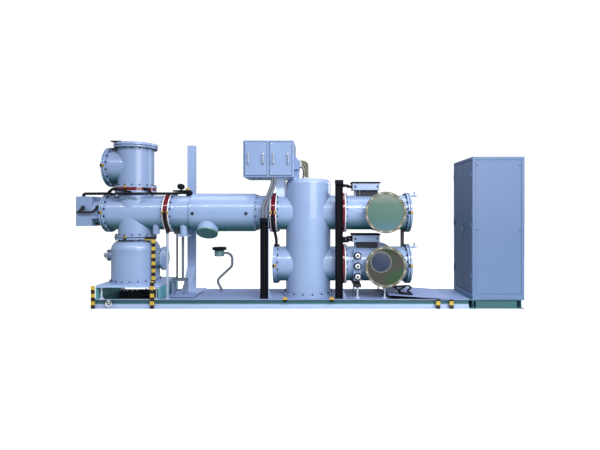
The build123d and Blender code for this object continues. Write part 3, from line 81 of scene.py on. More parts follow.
# %% [markdown]
# Helpers for materials. Noise, stretched values, sums and mixes come up again and again, so
# each is one short function that adds a node to a tree, wires it and hands back its result.
# Writing the nodes out each time would work as well, but the recipes would be lost between
# the wires.


# %% Node helpers
def new_group(name, inputs, outputs):
    """A shader node group with its sockets, and its input and output nodes."""
    group = bpy.data.node_groups.new(name, "ShaderNodeTree")
    for socket_name, value in inputs.items():
        kind = "NodeSocketColor" if isinstance(value, tuple) else "NodeSocketFloat"
        socket = group.interface.new_socket(socket_name, in_out="INPUT", socket_type=kind)
        socket.default_value = value
    for socket_name in outputs:
        kind = "NodeSocketColor" if socket_name == "Color" else "NodeSocketFloat"
        group.interface.new_socket(socket_name, in_out="OUTPUT", socket_type=kind)
    return group, group.nodes.new("NodeGroupInput"), group.nodes.new("NodeGroupOutput")


def set_inputs(node, values):
    """Give a node's inputs their values by name."""
    for socket_name, value in values.items():
        node.inputs[socket_name].default_value = value


def wire(tree, results, target):
    """Lead results to the inputs of a node by name."""
    for socket_name, result in results.items():
        tree.links.new(result, target.inputs[socket_name])


def object_place(tree):
    """The place on a piece, in the piece's own frame."""
    return tree.nodes.new("ShaderNodeTexCoord").outputs["Object"]


def split_node(tree, source):
    """The X, Y and Z of a vector."""
    split = tree.nodes.new("ShaderNodeSeparateXYZ")
    tree.links.new(source, split.inputs[0])
    return split.outputs


def face_direction(tree):
    """The X, Y and Z of the direction that a face looks in."""
    return split_node(tree, tree.nodes.new("ShaderNodeNewGeometry").outputs["Normal"])


def noise_node(tree, place, scale, detail):
    """A noise texture on the given coordinates."""
    noise = tree.nodes.new("ShaderNodeTexNoise")
    set_inputs(noise, {"Scale": scale, "Detail": detail})
    tree.links.new(place, noise.inputs["Vector"])
    return noise.outputs["Fac"]


def ramp_node(tree, source, low, high, to_low=0.0, to_high=1.0):
    """Stretch a value between two limits; a target may be a socket or a plain number."""
    ramp = tree.nodes.new("ShaderNodeMapRange")
    set_inputs(ramp, {"From Min": low, "From Max": high})
    for socket, target in ((ramp.inputs["To Min"], to_low), (ramp.inputs["To Max"], to_high)):
        if isinstance(target, float):
            socket.default_value = target
        else:
            tree.links.new(target, socket)
    tree.links.new(source, ramp.inputs["Value"])
    return ramp.outputs["Result"]


def math_node(tree, operation, first, second=None):
    """Combine two values, or work on one; the second may be a plain number."""
    node = tree.nodes.new("ShaderNodeMath")
    node.operation = operation
    tree.links.new(first, node.inputs[0])
    if isinstance(second, float):
        node.inputs[1].default_value = second
    elif second is not None:
        tree.links.new(second, node.inputs[1])
    return node.outputs["Value"]


def mix_node(tree, factor, first, second):
    """Mix two colours by a factor; a colour may be a socket or a plain value."""
    mix = tree.nodes.new("ShaderNodeMix")
    mix.data_type = "RGBA"
    tree.links.new(factor, mix.inputs["Factor"])
    for socket, colour in ((mix.inputs["A"], first), (mix.inputs["B"], second)):
        if isinstance(colour, tuple):
            socket.default_value = (*colour, 1)
        else:
            tree.links.new(colour, socket)
    return mix.outputs["Result"]


print("node helpers ready")

# %% [markdown]
# Floor and room. The bay stands alone on white, so the floor and the room look white, but
# they light the bay only dimly, or its sides and undersides would lose their shade: what a
# view sees directly is brighter than what they throw on the bay, and the floor under the skid
# stays in shadow.

# %% Floor and room
floor_mesh = bpy.data.meshes.new("floor")
reach = 60.0
floor_corners = [(-reach, -reach, 0), (reach, -reach, 0), (reach, reach, 0), (-reach, reach, 0)]
floor_mesh.from_pydata(floor_corners, [], [(0, 1, 2, 3)])
floor = bpy.data.objects.new("floor", floor_mesh)
floor.location.z = -0.002
scene.collection.objects.link(floor)
floor_paint = bpy.data.materials.new("white floor")
floor_paint.use_nodes = True
floor_tree = floor_paint.node_tree
floor_shader = floor_tree.nodes["Principled BSDF"]
floor_tone = (0.40, 0.46, 0.47, 1)
set_inputs(floor_shader, {"Base Color": floor_tone, "Roughness": 0.9, "Emission Color": (1.0, 1.0, 1.0, 1)})
floor_rays = floor_tree.nodes.new("ShaderNodeLightPath")
floor_place = split_node(floor_tree, object_place(floor_tree))
shadow_edge = 0.02
outside = []
for side_name, skid_half in (("X", 3.33), ("Y", 0.45)):
    distance = math_node(floor_tree, "ABSOLUTE", floor_place[side_name])
    outside.append(ramp_node(floor_tree, distance, skid_half - shadow_edge, skid_half))
beyond_skid = math_node(floor_tree, "MAXIMUM", *outside)
seen_white = math_node(floor_tree, "MULTIPLY", floor_rays.outputs["Is Camera Ray"], beyond_skid)
floor_tree.links.new(seen_white, floor_shader.inputs["Emission Strength"])
floor_mesh.materials.append(floor_paint)

sky = bpy.data.worlds.new("studio room")
sky.use_nodes = True
sky_tree = sky.node_tree
sky_light = sky_tree.nodes["Background"]
sky_light.inputs["Color"].default_value = (0.97, 0.985, 1.0, 1)
sky_rays = sky_tree.nodes.new("ShaderNodeLightPath")
thrown_light = 0.32
seen_light = 1.1
backdrop = ramp_node(sky_tree, sky_rays.outputs["Is Camera Ray"], 0.0, 1.0, thrown_light, seen_light)
sky_tree.links.new(backdrop, sky_light.inputs["Strength"])
scene.world = sky
print("floor half-width", reach, "m, room light", thrown_light)

# %% [markdown]
# Lamps. Two lamps in front, high and low and both toward the right, leave the left sides
# darker. A thin long one draws the bright line along the tubes, and weak ones overhead and
# behind light the tops and the back.


# %% Lamps
def soft_lamp(name, place, aim, width, depth, watts, tint):
    """A rectangular lamp at a place, turned to face a point."""
    lamp_data = bpy.data.lights.new(name, "AREA")
    lamp_data.shape = "RECTANGLE"
    lamp_data.size = width
    lamp_data.size_y = depth
    lamp_data.energy = watts
    lamp_data.color = tint
    lamp = bpy.data.objects.new(name, lamp_data)
    lamp.location = place
    lamp.rotation_euler = (Vector(aim) - Vector(place)).to_track_quat("-Z", "Y").to_euler()
    scene.collection.objects.link(lamp)
    return lamp


lamps = [
    soft_lamp("high front lamp", (4.2, -6.4, 6.6), (0.4, 0, 1.2), 7.0, 0.9, 520, (1.0, 0.99, 0.97)),
    soft_lamp("strip lamp", (-0.5, -6.4, 6.9), (-0.5, 0, 1.4), 14.0, 0.28, 470, (1.0, 1.0, 1.0)),
    soft_lamp("low front lamp", (4.4, -8.6, 2.7), (0.0, 0, 1.1), 6.0, 3.0, 295, (1.0, 0.99, 0.98)),
    soft_lamp("rear lamp", (6.8, 6.5, 3.2), (0.0, 0, 1.2), 4.0, 2.5, 130, (0.98, 0.99, 1.0)),
    soft_lamp("overhead lamp", (0.6, 0.3, 7.0), (0.6, 0, 0), 9.0, 3.0, 235, (0.97, 0.98, 1.0)),
]
scene.view_settings.view_transform = "Standard"
print("lamps:", [lamp.name for lamp in lamps])

# %% [markdown]
# Aged paint and painted shade. Sprayed steel is never one flat tone: the coat is a little lighter
# and darker in broad patches, dust settles on what faces up, and the skid's lower edge is grimy.
# What faces down is painted a dark greenish shade, a painted shade with a painted reflection of a
# green floor, and its coat is duller. All painted pieces share that, so it is one node group,
# given its own colours and amounts in each material. It reads the piece's own place, so nothing
# needs unwrapping.

# %% Aged paint and underside shade group
paint_group, paint_in, paint_out = new_group(
    "aged paint and underside shade",
    {
        "Light tone": (0.4, 0.5, 0.7, 1),
        "Dark tone": (0.3, 0.4, 0.6, 1),
        "Underside shade": (0.1, 0.2, 0.2, 1),
        "Dust": 0.3,
        "Gloss low": 0.3,
        "Gloss high": 0.5,
    },
    ("Color", "Roughness", "Height", "Shine"),
)
given = paint_in.outputs
dust_tone = (0.62, 0.63, 0.62)
grime_tone = (0.16, 0.17, 0.17)
place = object_place(paint_group)
facing = face_direction(paint_group)
patches = noise_node(paint_group, place, 2.2, 5.0)
specks = noise_node(paint_group, place, 38.0, 6.0)
peel = noise_node(paint_group, place, 150.0, 2.0)
broad = ramp_node(paint_group, patches, 0.35, 0.68)
speckled = ramp_node(paint_group, specks, 0.42, 0.7)
toned = mix_node(paint_group, broad, given["Light tone"], given["Dark tone"])
# Painted shade: faces that look down take the underside shade colour and a duller coat.
under = ramp_node(paint_group, facing["Z"], -0.26, -0.90)
shaded = mix_node(paint_group, under, toned, given["Underside shade"])
faces_up = ramp_node(paint_group, facing["Z"], 0.55, 1.0)
settled = math_node(paint_group, "MULTIPLY", faces_up, speckled)
dusty = math_node(paint_group, "MULTIPLY", settled, given["Dust"])
dusted = mix_node(paint_group, dusty, shaded, dust_tone)
low_down = ramp_node(paint_group, split_node(paint_group, place)["Z"], 0.30, 0.0)
splashed = math_node(paint_group, "MULTIPLY", low_down, speckled)
grimy = math_node(paint_group, "MULTIPLY", splashed, given["Dust"])
paint_results = {
    "Color": mix_node(paint_group, grimy, dusted, grime_tone),
    "Roughness": ramp_node(paint_group, specks, 0.0, 1.0, given["Gloss low"], given["Gloss high"]),
    "Height": peel,
    "Shine": ramp_node(paint_group, under, 0.0, 1.0, 1.0, 0.25),
}
wire(paint_group, paint_results, paint_out)
print("group:", paint_group.name, "with", len(paint_group.nodes), "nodes")

# %% [markdown]
# Striped paint. The earth bars are banded yellow and black, square across their length.
# Each band could be a strip of its own, but they are brushed on one flat bar, so the bands
# are cut from the bar's height: the remainder of height over the pitch is compared with a half.

# %% Band group
band_group, band_in, band_out = new_group(
    "yellow and black bands", {"Pitch": 0.12, "Start": 0.0}, ("Color", "Roughness")
)
band_pitch = band_in.outputs["Pitch"]
band_place = object_place(band_group)
band_height = split_node(band_group, band_place)["Z"]
shifted = math_node(band_group, "ADD", band_height, band_in.outputs["Start"])
wrapped = math_node(band_group, "FLOORED_MODULO", shifted, band_pitch)
share = math_node(band_group, "DIVIDE", wrapped, band_pitch)
is_black = math_node(band_group, "GREATER_THAN", share, 0.5)
wear = noise_node(band_group, band_place, 45.0, 4.0)
yellow = mix_node(band_group, wear, (0.66, 0.43, 0.04), (0.54, 0.36, 0.06))
banded = mix_node(band_group, is_black, yellow, (0.012, 0.012, 0.014))
band_gloss = ramp_node(band_group, wear, 0.3, 0.7, 0.35, 0.6)
wire(band_group, {"Color": banded, "Roughness": band_gloss}, band_out)
print("group:", band_group.name)

# %% [markdown]
# The painted finishes. Each one starts from a plain shader and takes the shared group with its
# own tones. The tanks are a light grey-blue and the spacers a dark red resin. The tee and the
# drive box carry a darker copy of the tank paint as painted shade, the bracket a lighter copy as
# painted light, and the cross beams are all in the teal of painted shade. One list keeps the
# tones side by side, so that two of them can be compared.

# %% Painted finishes
finishes = {}


def empty_finish(slot_name, metallic=0.0):
    """A new finish under its slot's name: the tree that feeds it, and its shader."""
    material = bpy.data.materials.new(slot_name.replace("_", " "))
    material.use_nodes = True
    finishes[slot_name] = material
    shader = material.node_tree.nodes["Principled BSDF"]
    shader.inputs["Metallic"].default_value = metallic
    return material.node_tree, shader


def add_paint(slot_name, light, dark, dust, gloss, peel_strength=0.05, coat=0.0, underside_shade=None, mirror=0.5):
    """A sprayed finish that takes the aged paint and underside shade group with its own tones."""
    tree, shader = empty_finish(slot_name)
    paint_and_shade = tree.nodes.new("ShaderNodeGroup")
    paint_and_shade.node_tree = paint_group
    tones = {"Light tone": light, "Dark tone": dark, "Underside shade": underside_shade or dark}
    set_inputs(paint_and_shade, {socket_name: (*tone, 1) for socket_name, tone in tones.items()})
    set_inputs(paint_and_shade, {"Dust": dust, "Gloss low": gloss[0], "Gloss high": gloss[1]})
    made = paint_and_shade.outputs
    bump = tree.nodes.new("ShaderNodeBump")
    set_inputs(bump, {"Strength": peel_strength, "Distance": 0.002})
    wire(tree, {"Height": made["Height"]}, bump)
    surface = {"Base Color": made["Color"], "Roughness": made["Roughness"], "Normal": bump.outputs["Normal"]}
    for socket_name, level in (("Coat Weight", coat), ("Specular IOR Level", mirror)):
        surface[socket_name] = ramp_node(tree, made["Shine"], 0.0, 1.0, 0.0, level)
    wire(tree, surface, shader)
    return tree, paint_and_shade


# Painted shade with a painted reflection of a green floor, for faces that look down.
painted_underside_shade = (0.014, 0.108, 0.108)
# Painted shade: the teal of the rail's web and of the cross beams.
painted_rail_shade = (0.055, 0.185, 0.225)
paint_rows = (
    # slot, light tone, dark tone, dust, gloss range, peel, coat, underside shade, mirror
    ("tank_paint", (0.262, 0.365, 0.595), (0.238, 0.335, 0.56), 0.12, (0.25, 0.42), 0.03, 0.42, painted_underside_shade),
    # Painted shade: a darker copy of the tank paint, on the tee and the drive box.
    ("tee_paint", (0.228, 0.318, 0.525), (0.207, 0.292, 0.495), 0.12, (0.25, 0.42), 0.03, 0.42, painted_underside_shade),
    ("frame_paint", (0.265, 0.36, 0.575), (0.23, 0.32, 0.52), 0.2, (0.3, 0.55), 0.08, 0.0, painted_underside_shade),
    ("deck_paint", (0.23, 0.32, 0.60), (0.20, 0.28, 0.52), 0.03, (0.4, 0.6), 0.08, 0.0, painted_underside_shade),
    # Painted light: the mechanism box's underside tone is lighter than its paint.
    ("mechanism_paint", (0.225, 0.315, 0.53), (0.205, 0.29, 0.50), 0.12, (0.3, 0.45), 0.05, 0.1,
     (0.29, 0.38, 0.57)),
    ("cover_paint", (0.13, 0.27, 0.21), (0.10, 0.22, 0.18), 0.1, (0.3, 0.5), 0.05, 0.0,
     (0.055, 0.145, 0.145)),
    # Painted light: a lighter copy of the frame paint, on the bracket in the box's shadow.
    ("bracket_paint", (0.58, 0.72, 1.0), (0.54, 0.67, 0.96), 0.1, (0.3, 0.5), 0.05, 0.0, painted_underside_shade),
    # Painted shade: the cross beams are all in the rail's teal shade tone.
    ("beam_paint", painted_rail_shade, painted_rail_shade, 0.05, (0.3, 0.5)),
    ("jack_paint", (0.58, 0.65, 0.80), (0.50, 0.57, 0.72), 0.1, (0.3, 0.5)),
    ("riser_paint", (0.36, 0.43, 0.55), (0.28, 0.35, 0.47), 0.2, (0.3, 0.5)),
    ("spacer_resin", (0.140, 0.003, 0.016), (0.110, 0.003, 0.012), 0.05, (0.10, 0.20), 0.02, 0.5, None, 0.4),
    ("dark_steel", (0.026, 0.030, 0.042), (0.018, 0.021, 0.030), 0.1, (0.35, 0.6), 0.06, 0.0, None, 0.3),
    ("bolt_steel", (0.045, 0.06, 0.09), (0.03, 0.04, 0.06), 0.1, (0.35, 0.55), 0.04, 0.0, None, 0.3),
    ("black_plastic", (0.006, 0.008, 0.017), (0.004, 0.005, 0.011), 0.01, (0.5, 0.7), 0.1, 0.0, None, 0.08),
    ("black_rubber", (0.008, 0.009, 0.014), (0.005, 0.006, 0.010), 0.02, (0.5, 0.7), 0.1, 0.0, None, 0.14),
    ("grey_conduit", (0.13, 0.15, 0.205), (0.10, 0.115, 0.16), 0.2, (0.4, 0.6), 0.08),
    ("gauge_sleeve", (0.12, 0.23, 0.255), (0.085, 0.17, 0.195), 0.05, (0.25, 0.45), 0.03, 0.2),
    ("white_line", (0.80, 0.81, 0.84), (0.72, 0.73, 0.77), 0.1, (0.3, 0.5), 0.03),
    ("link_yellow", (0.60, 0.39, 0.05), (0.50, 0.33, 0.06), 0.1, (0.35, 0.6), 0.03),
    ("clamp_ring", (0.155, 0.152, 0.115), (0.12, 0.12, 0.09), 0.1, (0.35, 0.55)),
    ("contact_disc", (0.024, 0.036, 0.078), (0.018, 0.028, 0.062), 0.05, (0.3, 0.5), 0.03, 0.0, None, 0.35),
    ("disc_rim", (0.13, 0.12, 0.135), (0.10, 0.095, 0.10), 0.05, (0.3, 0.5), 0.03),
    ("seam_line", (0.045, 0.065, 0.125), (0.035, 0.050, 0.10), 0.05, (0.4, 0.6), 0.03),
)
for row in paint_rows:
    add_paint(*row)
print("painted finishes:", len(finishes))

# %% [markdown]
# Finishes that change with height. The rails, the table, the posts, the cabinet and the upper
# front plate have one tone below and another above. Separate pieces would show a joint, so the
# tone is read from the height, and the rail also from how far right and how far inward it lies.
# Most of these tones are painted light and shade: the rail has pale painted light on its flanges,
# teal painted shade on its web and under the cabinet, a painted shadow line under the deck edge
# and painted shade on its inward faces; the table has a lit top over a shaded teal wall; the
# cabinet's side doors are darker as painted shade, the front panel and the post's foot lighter
# low down as painted light, and the rod support darker above its stand as painted shade.


# %% Height finishes
def height_tone(tree, stops):
    """A colour that changes with height, through the given (height, colour) stops."""
    low, high = stops[0][0], stops[-1][0]
    fade = tree.nodes.new("ShaderNodeValToRGB")
    while len(fade.color_ramp.elements) < len(stops):
        fade.color_ramp.elements.new(0.5)
    for element, (level, colour) in zip(fade.color_ramp.elements, stops):
        element.position = (level - low) / (high - low)
        element.color = (*colour, 1)
    level_share = ramp_node(tree, split_node(tree, object_place(tree))["Z"], low, high)
    tree.links.new(level_share, fade.inputs["Fac"])
    return fade.outputs["Color"]


def add_height_paint(slot_name, stops, dust, gloss, right_of=None, inward=None):
    """A sprayed finish whose tone changes with height; it may have a painted shade to the right of a
    place, and another painted shade on the faces that look inward from the skid's long sides."""
    tree, paint_and_shade = add_paint(slot_name, stops[0][1], stops[0][1], dust, gloss, underside_shade=painted_underside_shade)
    tone = height_tone(tree, stops)
    if right_of:
        edge, colour = right_of
        past = ramp_node(tree, split_node(tree, object_place(tree))["X"], edge, edge + 0.01)
        tone = mix_node(tree, past, tone, colour)
    if inward:
        depth = split_node(tree, object_place(tree))["Y"]
        turned = math_node(tree, "MULTIPLY", depth, face_direction(tree)["Y"])
        tone = mix_node(tree, ramp_node(tree, turned, -0.05, -0.15), tone, inward)
    wire(tree, {"Light tone": tone, "Dark tone": tone}, paint_and_shade)


# Painted light and shade on the rail: pale light on its flanges, teal shade on its web, a dark shadow line
# under the deck edge, and shade on its inward faces and under the cabinet.
painted_rail_light = (0.42, 0.52, 0.76)
painted_deck_edge_shadow = (0.06, 0.085, 0.14)
painted_rail_inside_shade = (0.030, 0.038, 0.060)
plinth_left = 2.55
painted_plinth_shade = (0.038, 0.128, 0.158)
# Painted light and shade on the table: a pale lit top over a teal shaded wall.
painted_table_light = (0.34, 0.47, 0.75)
painted_table_shade = (0.13, 0.40, 0.46)
painted_rod_shade = (0.045, 0.065, 0.08)
rail_stops = (
    (0.055, painted_rail_light), (0.07, painted_rail_shade), (0.124, painted_rail_shade), (0.128, painted_deck_edge_shadow), (0.1385, painted_deck_edge_shadow),
    (0.1398, painted_rail_light),
)
add_height_paint("rail_paint", rail_stops, 0.05, (0.3, 0.5), (plinth_left, painted_plinth_shade), painted_rail_inside_shade)
height_rows = {
    "table_paint": (
        ((0.14, painted_table_shade), (0.323, painted_table_shade), (0.326, painted_table_light), (0.36, painted_table_light)), 0.05, (0.3, 0.5)),
    # Painted shade: the cabinet's side doors are dark, darkest low down.
    "door_shade_paint": (
        ((0.22, (0.052, 0.093, 0.174)), (1.2, (0.060, 0.107, 0.204)), (2.3, (0.098, 0.150, 0.282))),
        0.1, (0.35, 0.5)),
    # Painted light: the front panel is lighter low down.
    "panel_paint": (
        ((0.22, (0.124, 0.200, 0.370)), (1.2, (0.099, 0.161, 0.314)), (2.3, (0.092, 0.152, 0.303))),
        0.15, (0.32, 0.48)),
    # Painted light: the post's foot is lighter than the paint above.
    "post_paint": (
        ((0.15, (0.36, 0.48, 0.75)), (0.40, (0.25, 0.34, 0.55)), (0.95, (0.265, 0.36, 0.575))),
        0.1, (0.3, 0.5)),
    # Painted shade: the rod support darkens above its stand, under the tank.
    "rod_paint": (
        ((0.15, (0.19, 0.26, 0.40)), (0.36, (0.12, 0.16, 0.24)), (0.42, painted_rod_shade), (1.2, painted_rod_shade)),
        0.1, (0.35, 0.6)),
    "sage_plate": (
        ((1.20, (0.042, 0.125, 0.180)), (1.38, (0.034, 0.112, 0.098)), (1.60, (0.042, 0.117, 0.090)),
         (1.75, (0.150, 0.18, 0.155))), 0.05, (0.25, 0.45)),
}
for slot_name, (stops, dust, gloss) in height_rows.items():
    add_height_paint(slot_name, stops, dust, gloss)
print("height finishes:", len(height_rows) + 1)

# %% [markdown]
# Bare metal, striped paint and clear sheet. The two metals differ only in tone and grain, so
# one function makes both. The clear sheet shows the inside of its tank as soft patches, green
# in two opposite quarters and brown in the others: the product of the way across and the way
# up has the same sign in opposite quarters, so it picks the tone.


# %% Other finishes
def add_metal(slot_name, grain, bright, dull, gloss):
    """A bare metal with a fine noise in its tone and its gloss."""
    tree, shader = empty_finish(slot_name, 1.0)
    noise = noise_node(tree, object_place(tree), grain, 3.0)
    tone, roughness = mix_node(tree, noise, bright, dull), ramp_node(tree, noise, 0.3, 0.7, *gloss)
    wire(tree, {"Base Color": tone, "Roughness": roughness}, shader)


add_metal("zinc_steel", 60.0, (0.62, 0.65, 0.70), (0.46, 0.49, 0.54), (0.22, 0.4))
add_metal("bronze", 45.0, (0.46, 0.43, 0.33), (0.07, 0.07, 0.06), (0.25, 0.5))

striped_tree, striped_shader = empty_finish("striped_paint")
bands = striped_tree.nodes.new("ShaderNodeGroup")
bands.node_tree = band_group
set_inputs(bands, {"Pitch": 0.117, "Start": 0.0585})
band_results = {"Base Color": bands.outputs["Color"], "Roughness": bands.outputs["Roughness"]}
wire(striped_tree, band_results, striped_shader)

sheet_tree, sheet_shader = empty_finish("clear_sheet")
sheet_place = object_place(sheet_tree)
sheet_split = split_node(sheet_tree, sheet_place)
sheet_across = ramp_node(sheet_tree, sheet_split["X"], 0.90, 1.50, -1.0, 1.0)
sheet_up = ramp_node(sheet_tree, sheet_split["Z"], 0.345, 0.945, -1.0, 1.0)
sheet_corner = math_node(sheet_tree, "MULTIPLY", sheet_across, sheet_up)
sheet_noise = noise_node(sheet_tree, sheet_place, 3.4, 3.0)
sheet_patch = ramp_node(sheet_tree, sheet_noise, 0.3, 0.7, -0.2, 0.2)
sheet_sum = math_node(sheet_tree, "ADD", sheet_corner, sheet_patch)
sheet_share = ramp_node(sheet_tree, sheet_sum, -0.12, 0.12)
sheet_tone = mix_node(sheet_tree, sheet_share, (0.018, 0.052, 0.018), (0.040, 0.036, 0.030))
sheet_gloss = ramp_node(sheet_tree, sheet_noise, 0.3, 0.7, 0.1, 0.22)
wire(sheet_tree, {"Base Color": sheet_tone, "Roughness": sheet_gloss}, sheet_shader)
set_inputs(sheet_shader, {"Coat Weight": 0.1})
print("finishes:", sorted(finishes))

# %% [markdown]
# Giving each CAD piece its finish. The record says which finish slot each piece belongs to,
# so the same list is used here, and a scene that repaints the slot repaints the piece. Some
# pieces carry a variant of it: rails and table two-toned in painted light and shade, the walked
# deck, doors darker as painted shade.

# %% Finish on every CAD piece
pieces_by_finish = {
    "rail_paint": ("skid_rails",),
    "deck_paint": ("deck_plates", "loose_deck_plate"),
    "beam_paint": ("cross_beams",),
    "table_paint": ("vessel_table",),
    "door_shade_paint": ("cabinet_door_front", "cabinet_door_rear"),
    "panel_paint": ("cabinet_panels", "cabinet_posts", "cabinet_roof", "cabinet_plinth"),
    "mechanism_paint": ("mechanism_box", "mechanism_covers"),
    "sage_plate": ("upper_front_cover",),
    "tee_paint": ("upper_tee", "drive_box"),
    "riser_paint": ("cable_riser",),
    "bracket_paint": ("mechanism_bracket",),
    "post_paint": ("rear_post",),
    "rod_paint": ("rod_support",),
    "jack_paint": ("levelling_jacks",),
}
own_finish = {node: finish for finish, group in pieces_by_finish.items() for node in group}
for entry in frame["record"]["subparts"]:
    piece = nodes[entry["node"]]
    piece.data.materials.clear()
    piece.data.materials.append(finishes[own_finish.get(entry["node"], entry["material_slot"])])

# %% [markdown]
# Helpers for added pieces. Small hardware such as bolts, bands and links is built from
# plain shells: lists of points and faces that are gathered and turned into one object for
# each kind. One object for each bolt would be easier to pick, but hundreds of objects slow
# everything, so a whole family of bolts becomes a single mesh that rides on its body.

# %% Shell helpers
along = Vector((1, 0, 0))
back_along = Vector((-1, 0, 0))
upward = Vector((0, 0, 1))
downward = Vector((0, 0, -1))
toward_viewer = Vector((0, -1, 0))


def cross_directions(axis):
    """Two unit directions square to an axis and to each other."""
    axis = Vector(axis).normalized()
    guide = upward if abs(axis.z) < 0.9 else along
    first = guide.cross(axis).normalized()
    return first, axis.cross(first)


def circle_spokes(first, second, count, shift=0.0):
    """Unit spokes evenly round a circle that lies in two directions."""
    angles = [2 * math.pi * (number + shift) / count for number in range(count)]
    return [first * math.cos(angle) + second * math.sin(angle) for angle in angles]


def tube_faces(ring_count, sides):
    """The faces between rings of points, with a lid at both ends."""
    faces = []
    for low in range(0, (ring_count - 1) * sides, sides):
        for number in range(sides):
            after = (number + 1) % sides
            faces.append((low + number, low + after, low + sides + after, low + sides + number))
    last = (ring_count - 1) * sides
    return faces + [tuple(reversed(range(sides))), tuple(range(last, last + sides))]


def round_shell(start, axis, radii, heights, sides):
    """A turned shell: rings of given radii at given heights along an axis, closed at both ends."""
    axis = Vector(axis).normalized()
    spokes = circle_spokes(*cross_directions(axis), sides)
    levels = [(Vector(start) + axis * height, radius) for radius, height in zip(radii, heights)]
    points = [middle + spoke * radius for middle, radius in levels for spoke in spokes]
    return points, tube_faces(len(levels), sides)


def rod_shell(start, axis, radius, length, sides):
    """A plain round bar."""
    return round_shell(start, axis, (radius, radius), (0, length), sides)


plug_kinds = {
    # radii of foot and top, heights of shoulder and top, sides
    "contact disc": ((0.146, 0.138), (0.003, 0.005), 64),
    "insulator": ((0.039, 0.036), (0.006, 0.008), 40),
    "stud": ((0.010, 0.008), (0.02, 0.022), 16),
    "tank plug": ((0.026, 0.020), (0.010, 0.014), 24),
    "box plug": ((0.016, 0.012), (0.010, 0.013), 20),
    "drive plug": ((0.017, 0.013), (0.006, 0.009), 20),
    "drain plug": ((0.022, 0.017), (0.044, 0.050), 24),
    "cover screw": ((0.007, 0.005), (0.003, 0.004), 12),
    "panel screw": ((0.011, 0.008), (0.0025, 0.0035), 16),
    "handle boss": ((0.012, 0.010), (0.006, 0.008), 20),
    "lever cap": ((0.034, 0.031), (0.0027, 0.0037), 28),
}


def plug_shell(kind, start, axis):
    """A round plug or screw head with a bevelled top."""
    radii, heights, sides = plug_kinds[kind]
    return round_shell(start, axis, (radii[0], *radii), (0, *heights), sides)


def plug_grid(kind, columns, y, rows, axis):
    """Plugs of one kind at every crossing of columns (x) and rows (z)."""
    return [plug_shell(kind, (x, y, z), axis) for x in columns for z in rows]


def ring_shell(middle, axis, profile, sides):
    """A ring: a profile of four (radius, step along the axis) corners carried round."""
    axis = Vector(axis).normalized()
    points, faces = [], []
    for number, spoke in enumerate(circle_spokes(*cross_directions(axis), sides)):
        points.extend(Vector(middle) + spoke * out + axis * step for out, step in profile)
        here, there = number * 4, (number + 1) % sides * 4
        faces.extend((here + k, there + k, there + (k + 1) % 4, here + (k + 1) % 4) for k in range(4))
    return points, faces


def hoop_shell(middle, axis, radius, width, thickness=0.0025, sides=72):
    """A thin hoop round a rim, centred on its width."""
    outer, half = radius + thickness, width / 2
    return ring_shell(middle, axis, ((radius, -half), (outer, -half), (outer, half), (radius, half)), sides)


def flat_ring(middle, axis, inner, outer, thickness, sides=72):
    """A flat ring that stands on a face."""
    return ring_shell(middle, axis, ((inner, 0), (outer, 0), (outer, thickness), (inner, thickness)), sides)


block_faces = [(0, 3, 2, 1), (4, 5, 6, 7), (0, 1, 5, 4), (1, 2, 6, 5), (2, 3, 7, 6), (3, 0, 4, 7)]


def turned_block(middle, run, side, outward, ends, half_width, rise):
    """A block in turned directions: two ends along its run, a half width and a rise."""
    start, end = ends
    corners = [
        middle + run * at + side * across * half_width + outward * up
        for up in (0, rise)
        for at, across in ((start, -1), (end, -1), (end, 1), (start, 1))
    ]
    return corners, block_faces


def box_shell(low, high):
    """A plain block between two corners."""
    corners = [
        Vector((x, y, z))
        for z in (low[2], high[2])
        for x, y in ((low[0], low[1]), (high[0], low[1]), (high[0], high[1]), (low[0], high[1]))
    ]
    return corners, block_faces


def add_piece(name, shells, slot_name, body="bay", smooth_angle=35.0):
    """Join shells into one object with a finish, riding on a body."""
    points, faces = [], []
    for shell_points, shell_faces in shells:
        offset = len(points)
        points.extend(shell_points)
        faces.extend(tuple(index + offset for index in face) for face in shell_faces)
    mesh = bpy.data.meshes.new(name)
    mesh.from_pydata([tuple(point) for point in points], [], faces)
    mesh.shade_smooth()
    mesh.set_sharp_from_angle(angle=math.radians(smooth_angle))
    mesh.materials.append(finishes[slot_name])
    piece = bpy.data.objects.new(name, mesh)
    scene.collection.objects.link(piece)
    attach(piece, body)
    print(name, "faces:", len(faces))
    return piece


# %% [markdown]
# Where the flanges are. Every bolt ring, rim band and earth link sits on a flange, so their
# places are read once from the boxes of the CAD pieces: the axis heights from the busbar
# tanks, the tower's middle from the upper tee, the joint planes from the tanks' ends.

# %% Flange places
flange_radius = 0.320
flange_thickness = 0.030
top_flange_radius = 0.335
upper_axis = sum(corner.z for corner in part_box("upper_busbar_tank")) / 2
lower_axis = sum(corner.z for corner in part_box("lower_busbar_tank")) / 2
switch_low, switch_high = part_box("switch_tank")
tee_low, tee_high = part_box("upper_tee")
tower_x = tee_high.x - top_flange_radius
tee_port_axis = tee_low.z + 0.340
breaker_low, breaker_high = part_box("breaker_tank")
breaker_reach = breaker_high.x
busbar_low, busbar_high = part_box("upper_busbar_tank")
adapter_low, adapter_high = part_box("line_adapters")
transformer_low, transformer_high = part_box("current_transformer_tank")
vessel_low, vessel_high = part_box("lower_vessel")
front_low, front_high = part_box("upper_front_cover")
port_x = (front_low.x + front_high.x) / 2
print("axes at", round(upper_axis, 3), round(lower_axis, 3))
print("tower at", round(tower_x, 3), "port at", round(port_x, 3))

# %% [markdown]
# Flange bolts. Each joint is pulled together by a ring of hexagon bolts, and the nuts stand
# on the faces that look away from the joint. Each is a washer, a nut with a bevelled top and
# the end of the thread, repeated round the circle by a loop with the ring's own count.

# %% Bolt rings
bolt_circle = 0.301
top_bolt_circle = 0.312
ring_count = 16


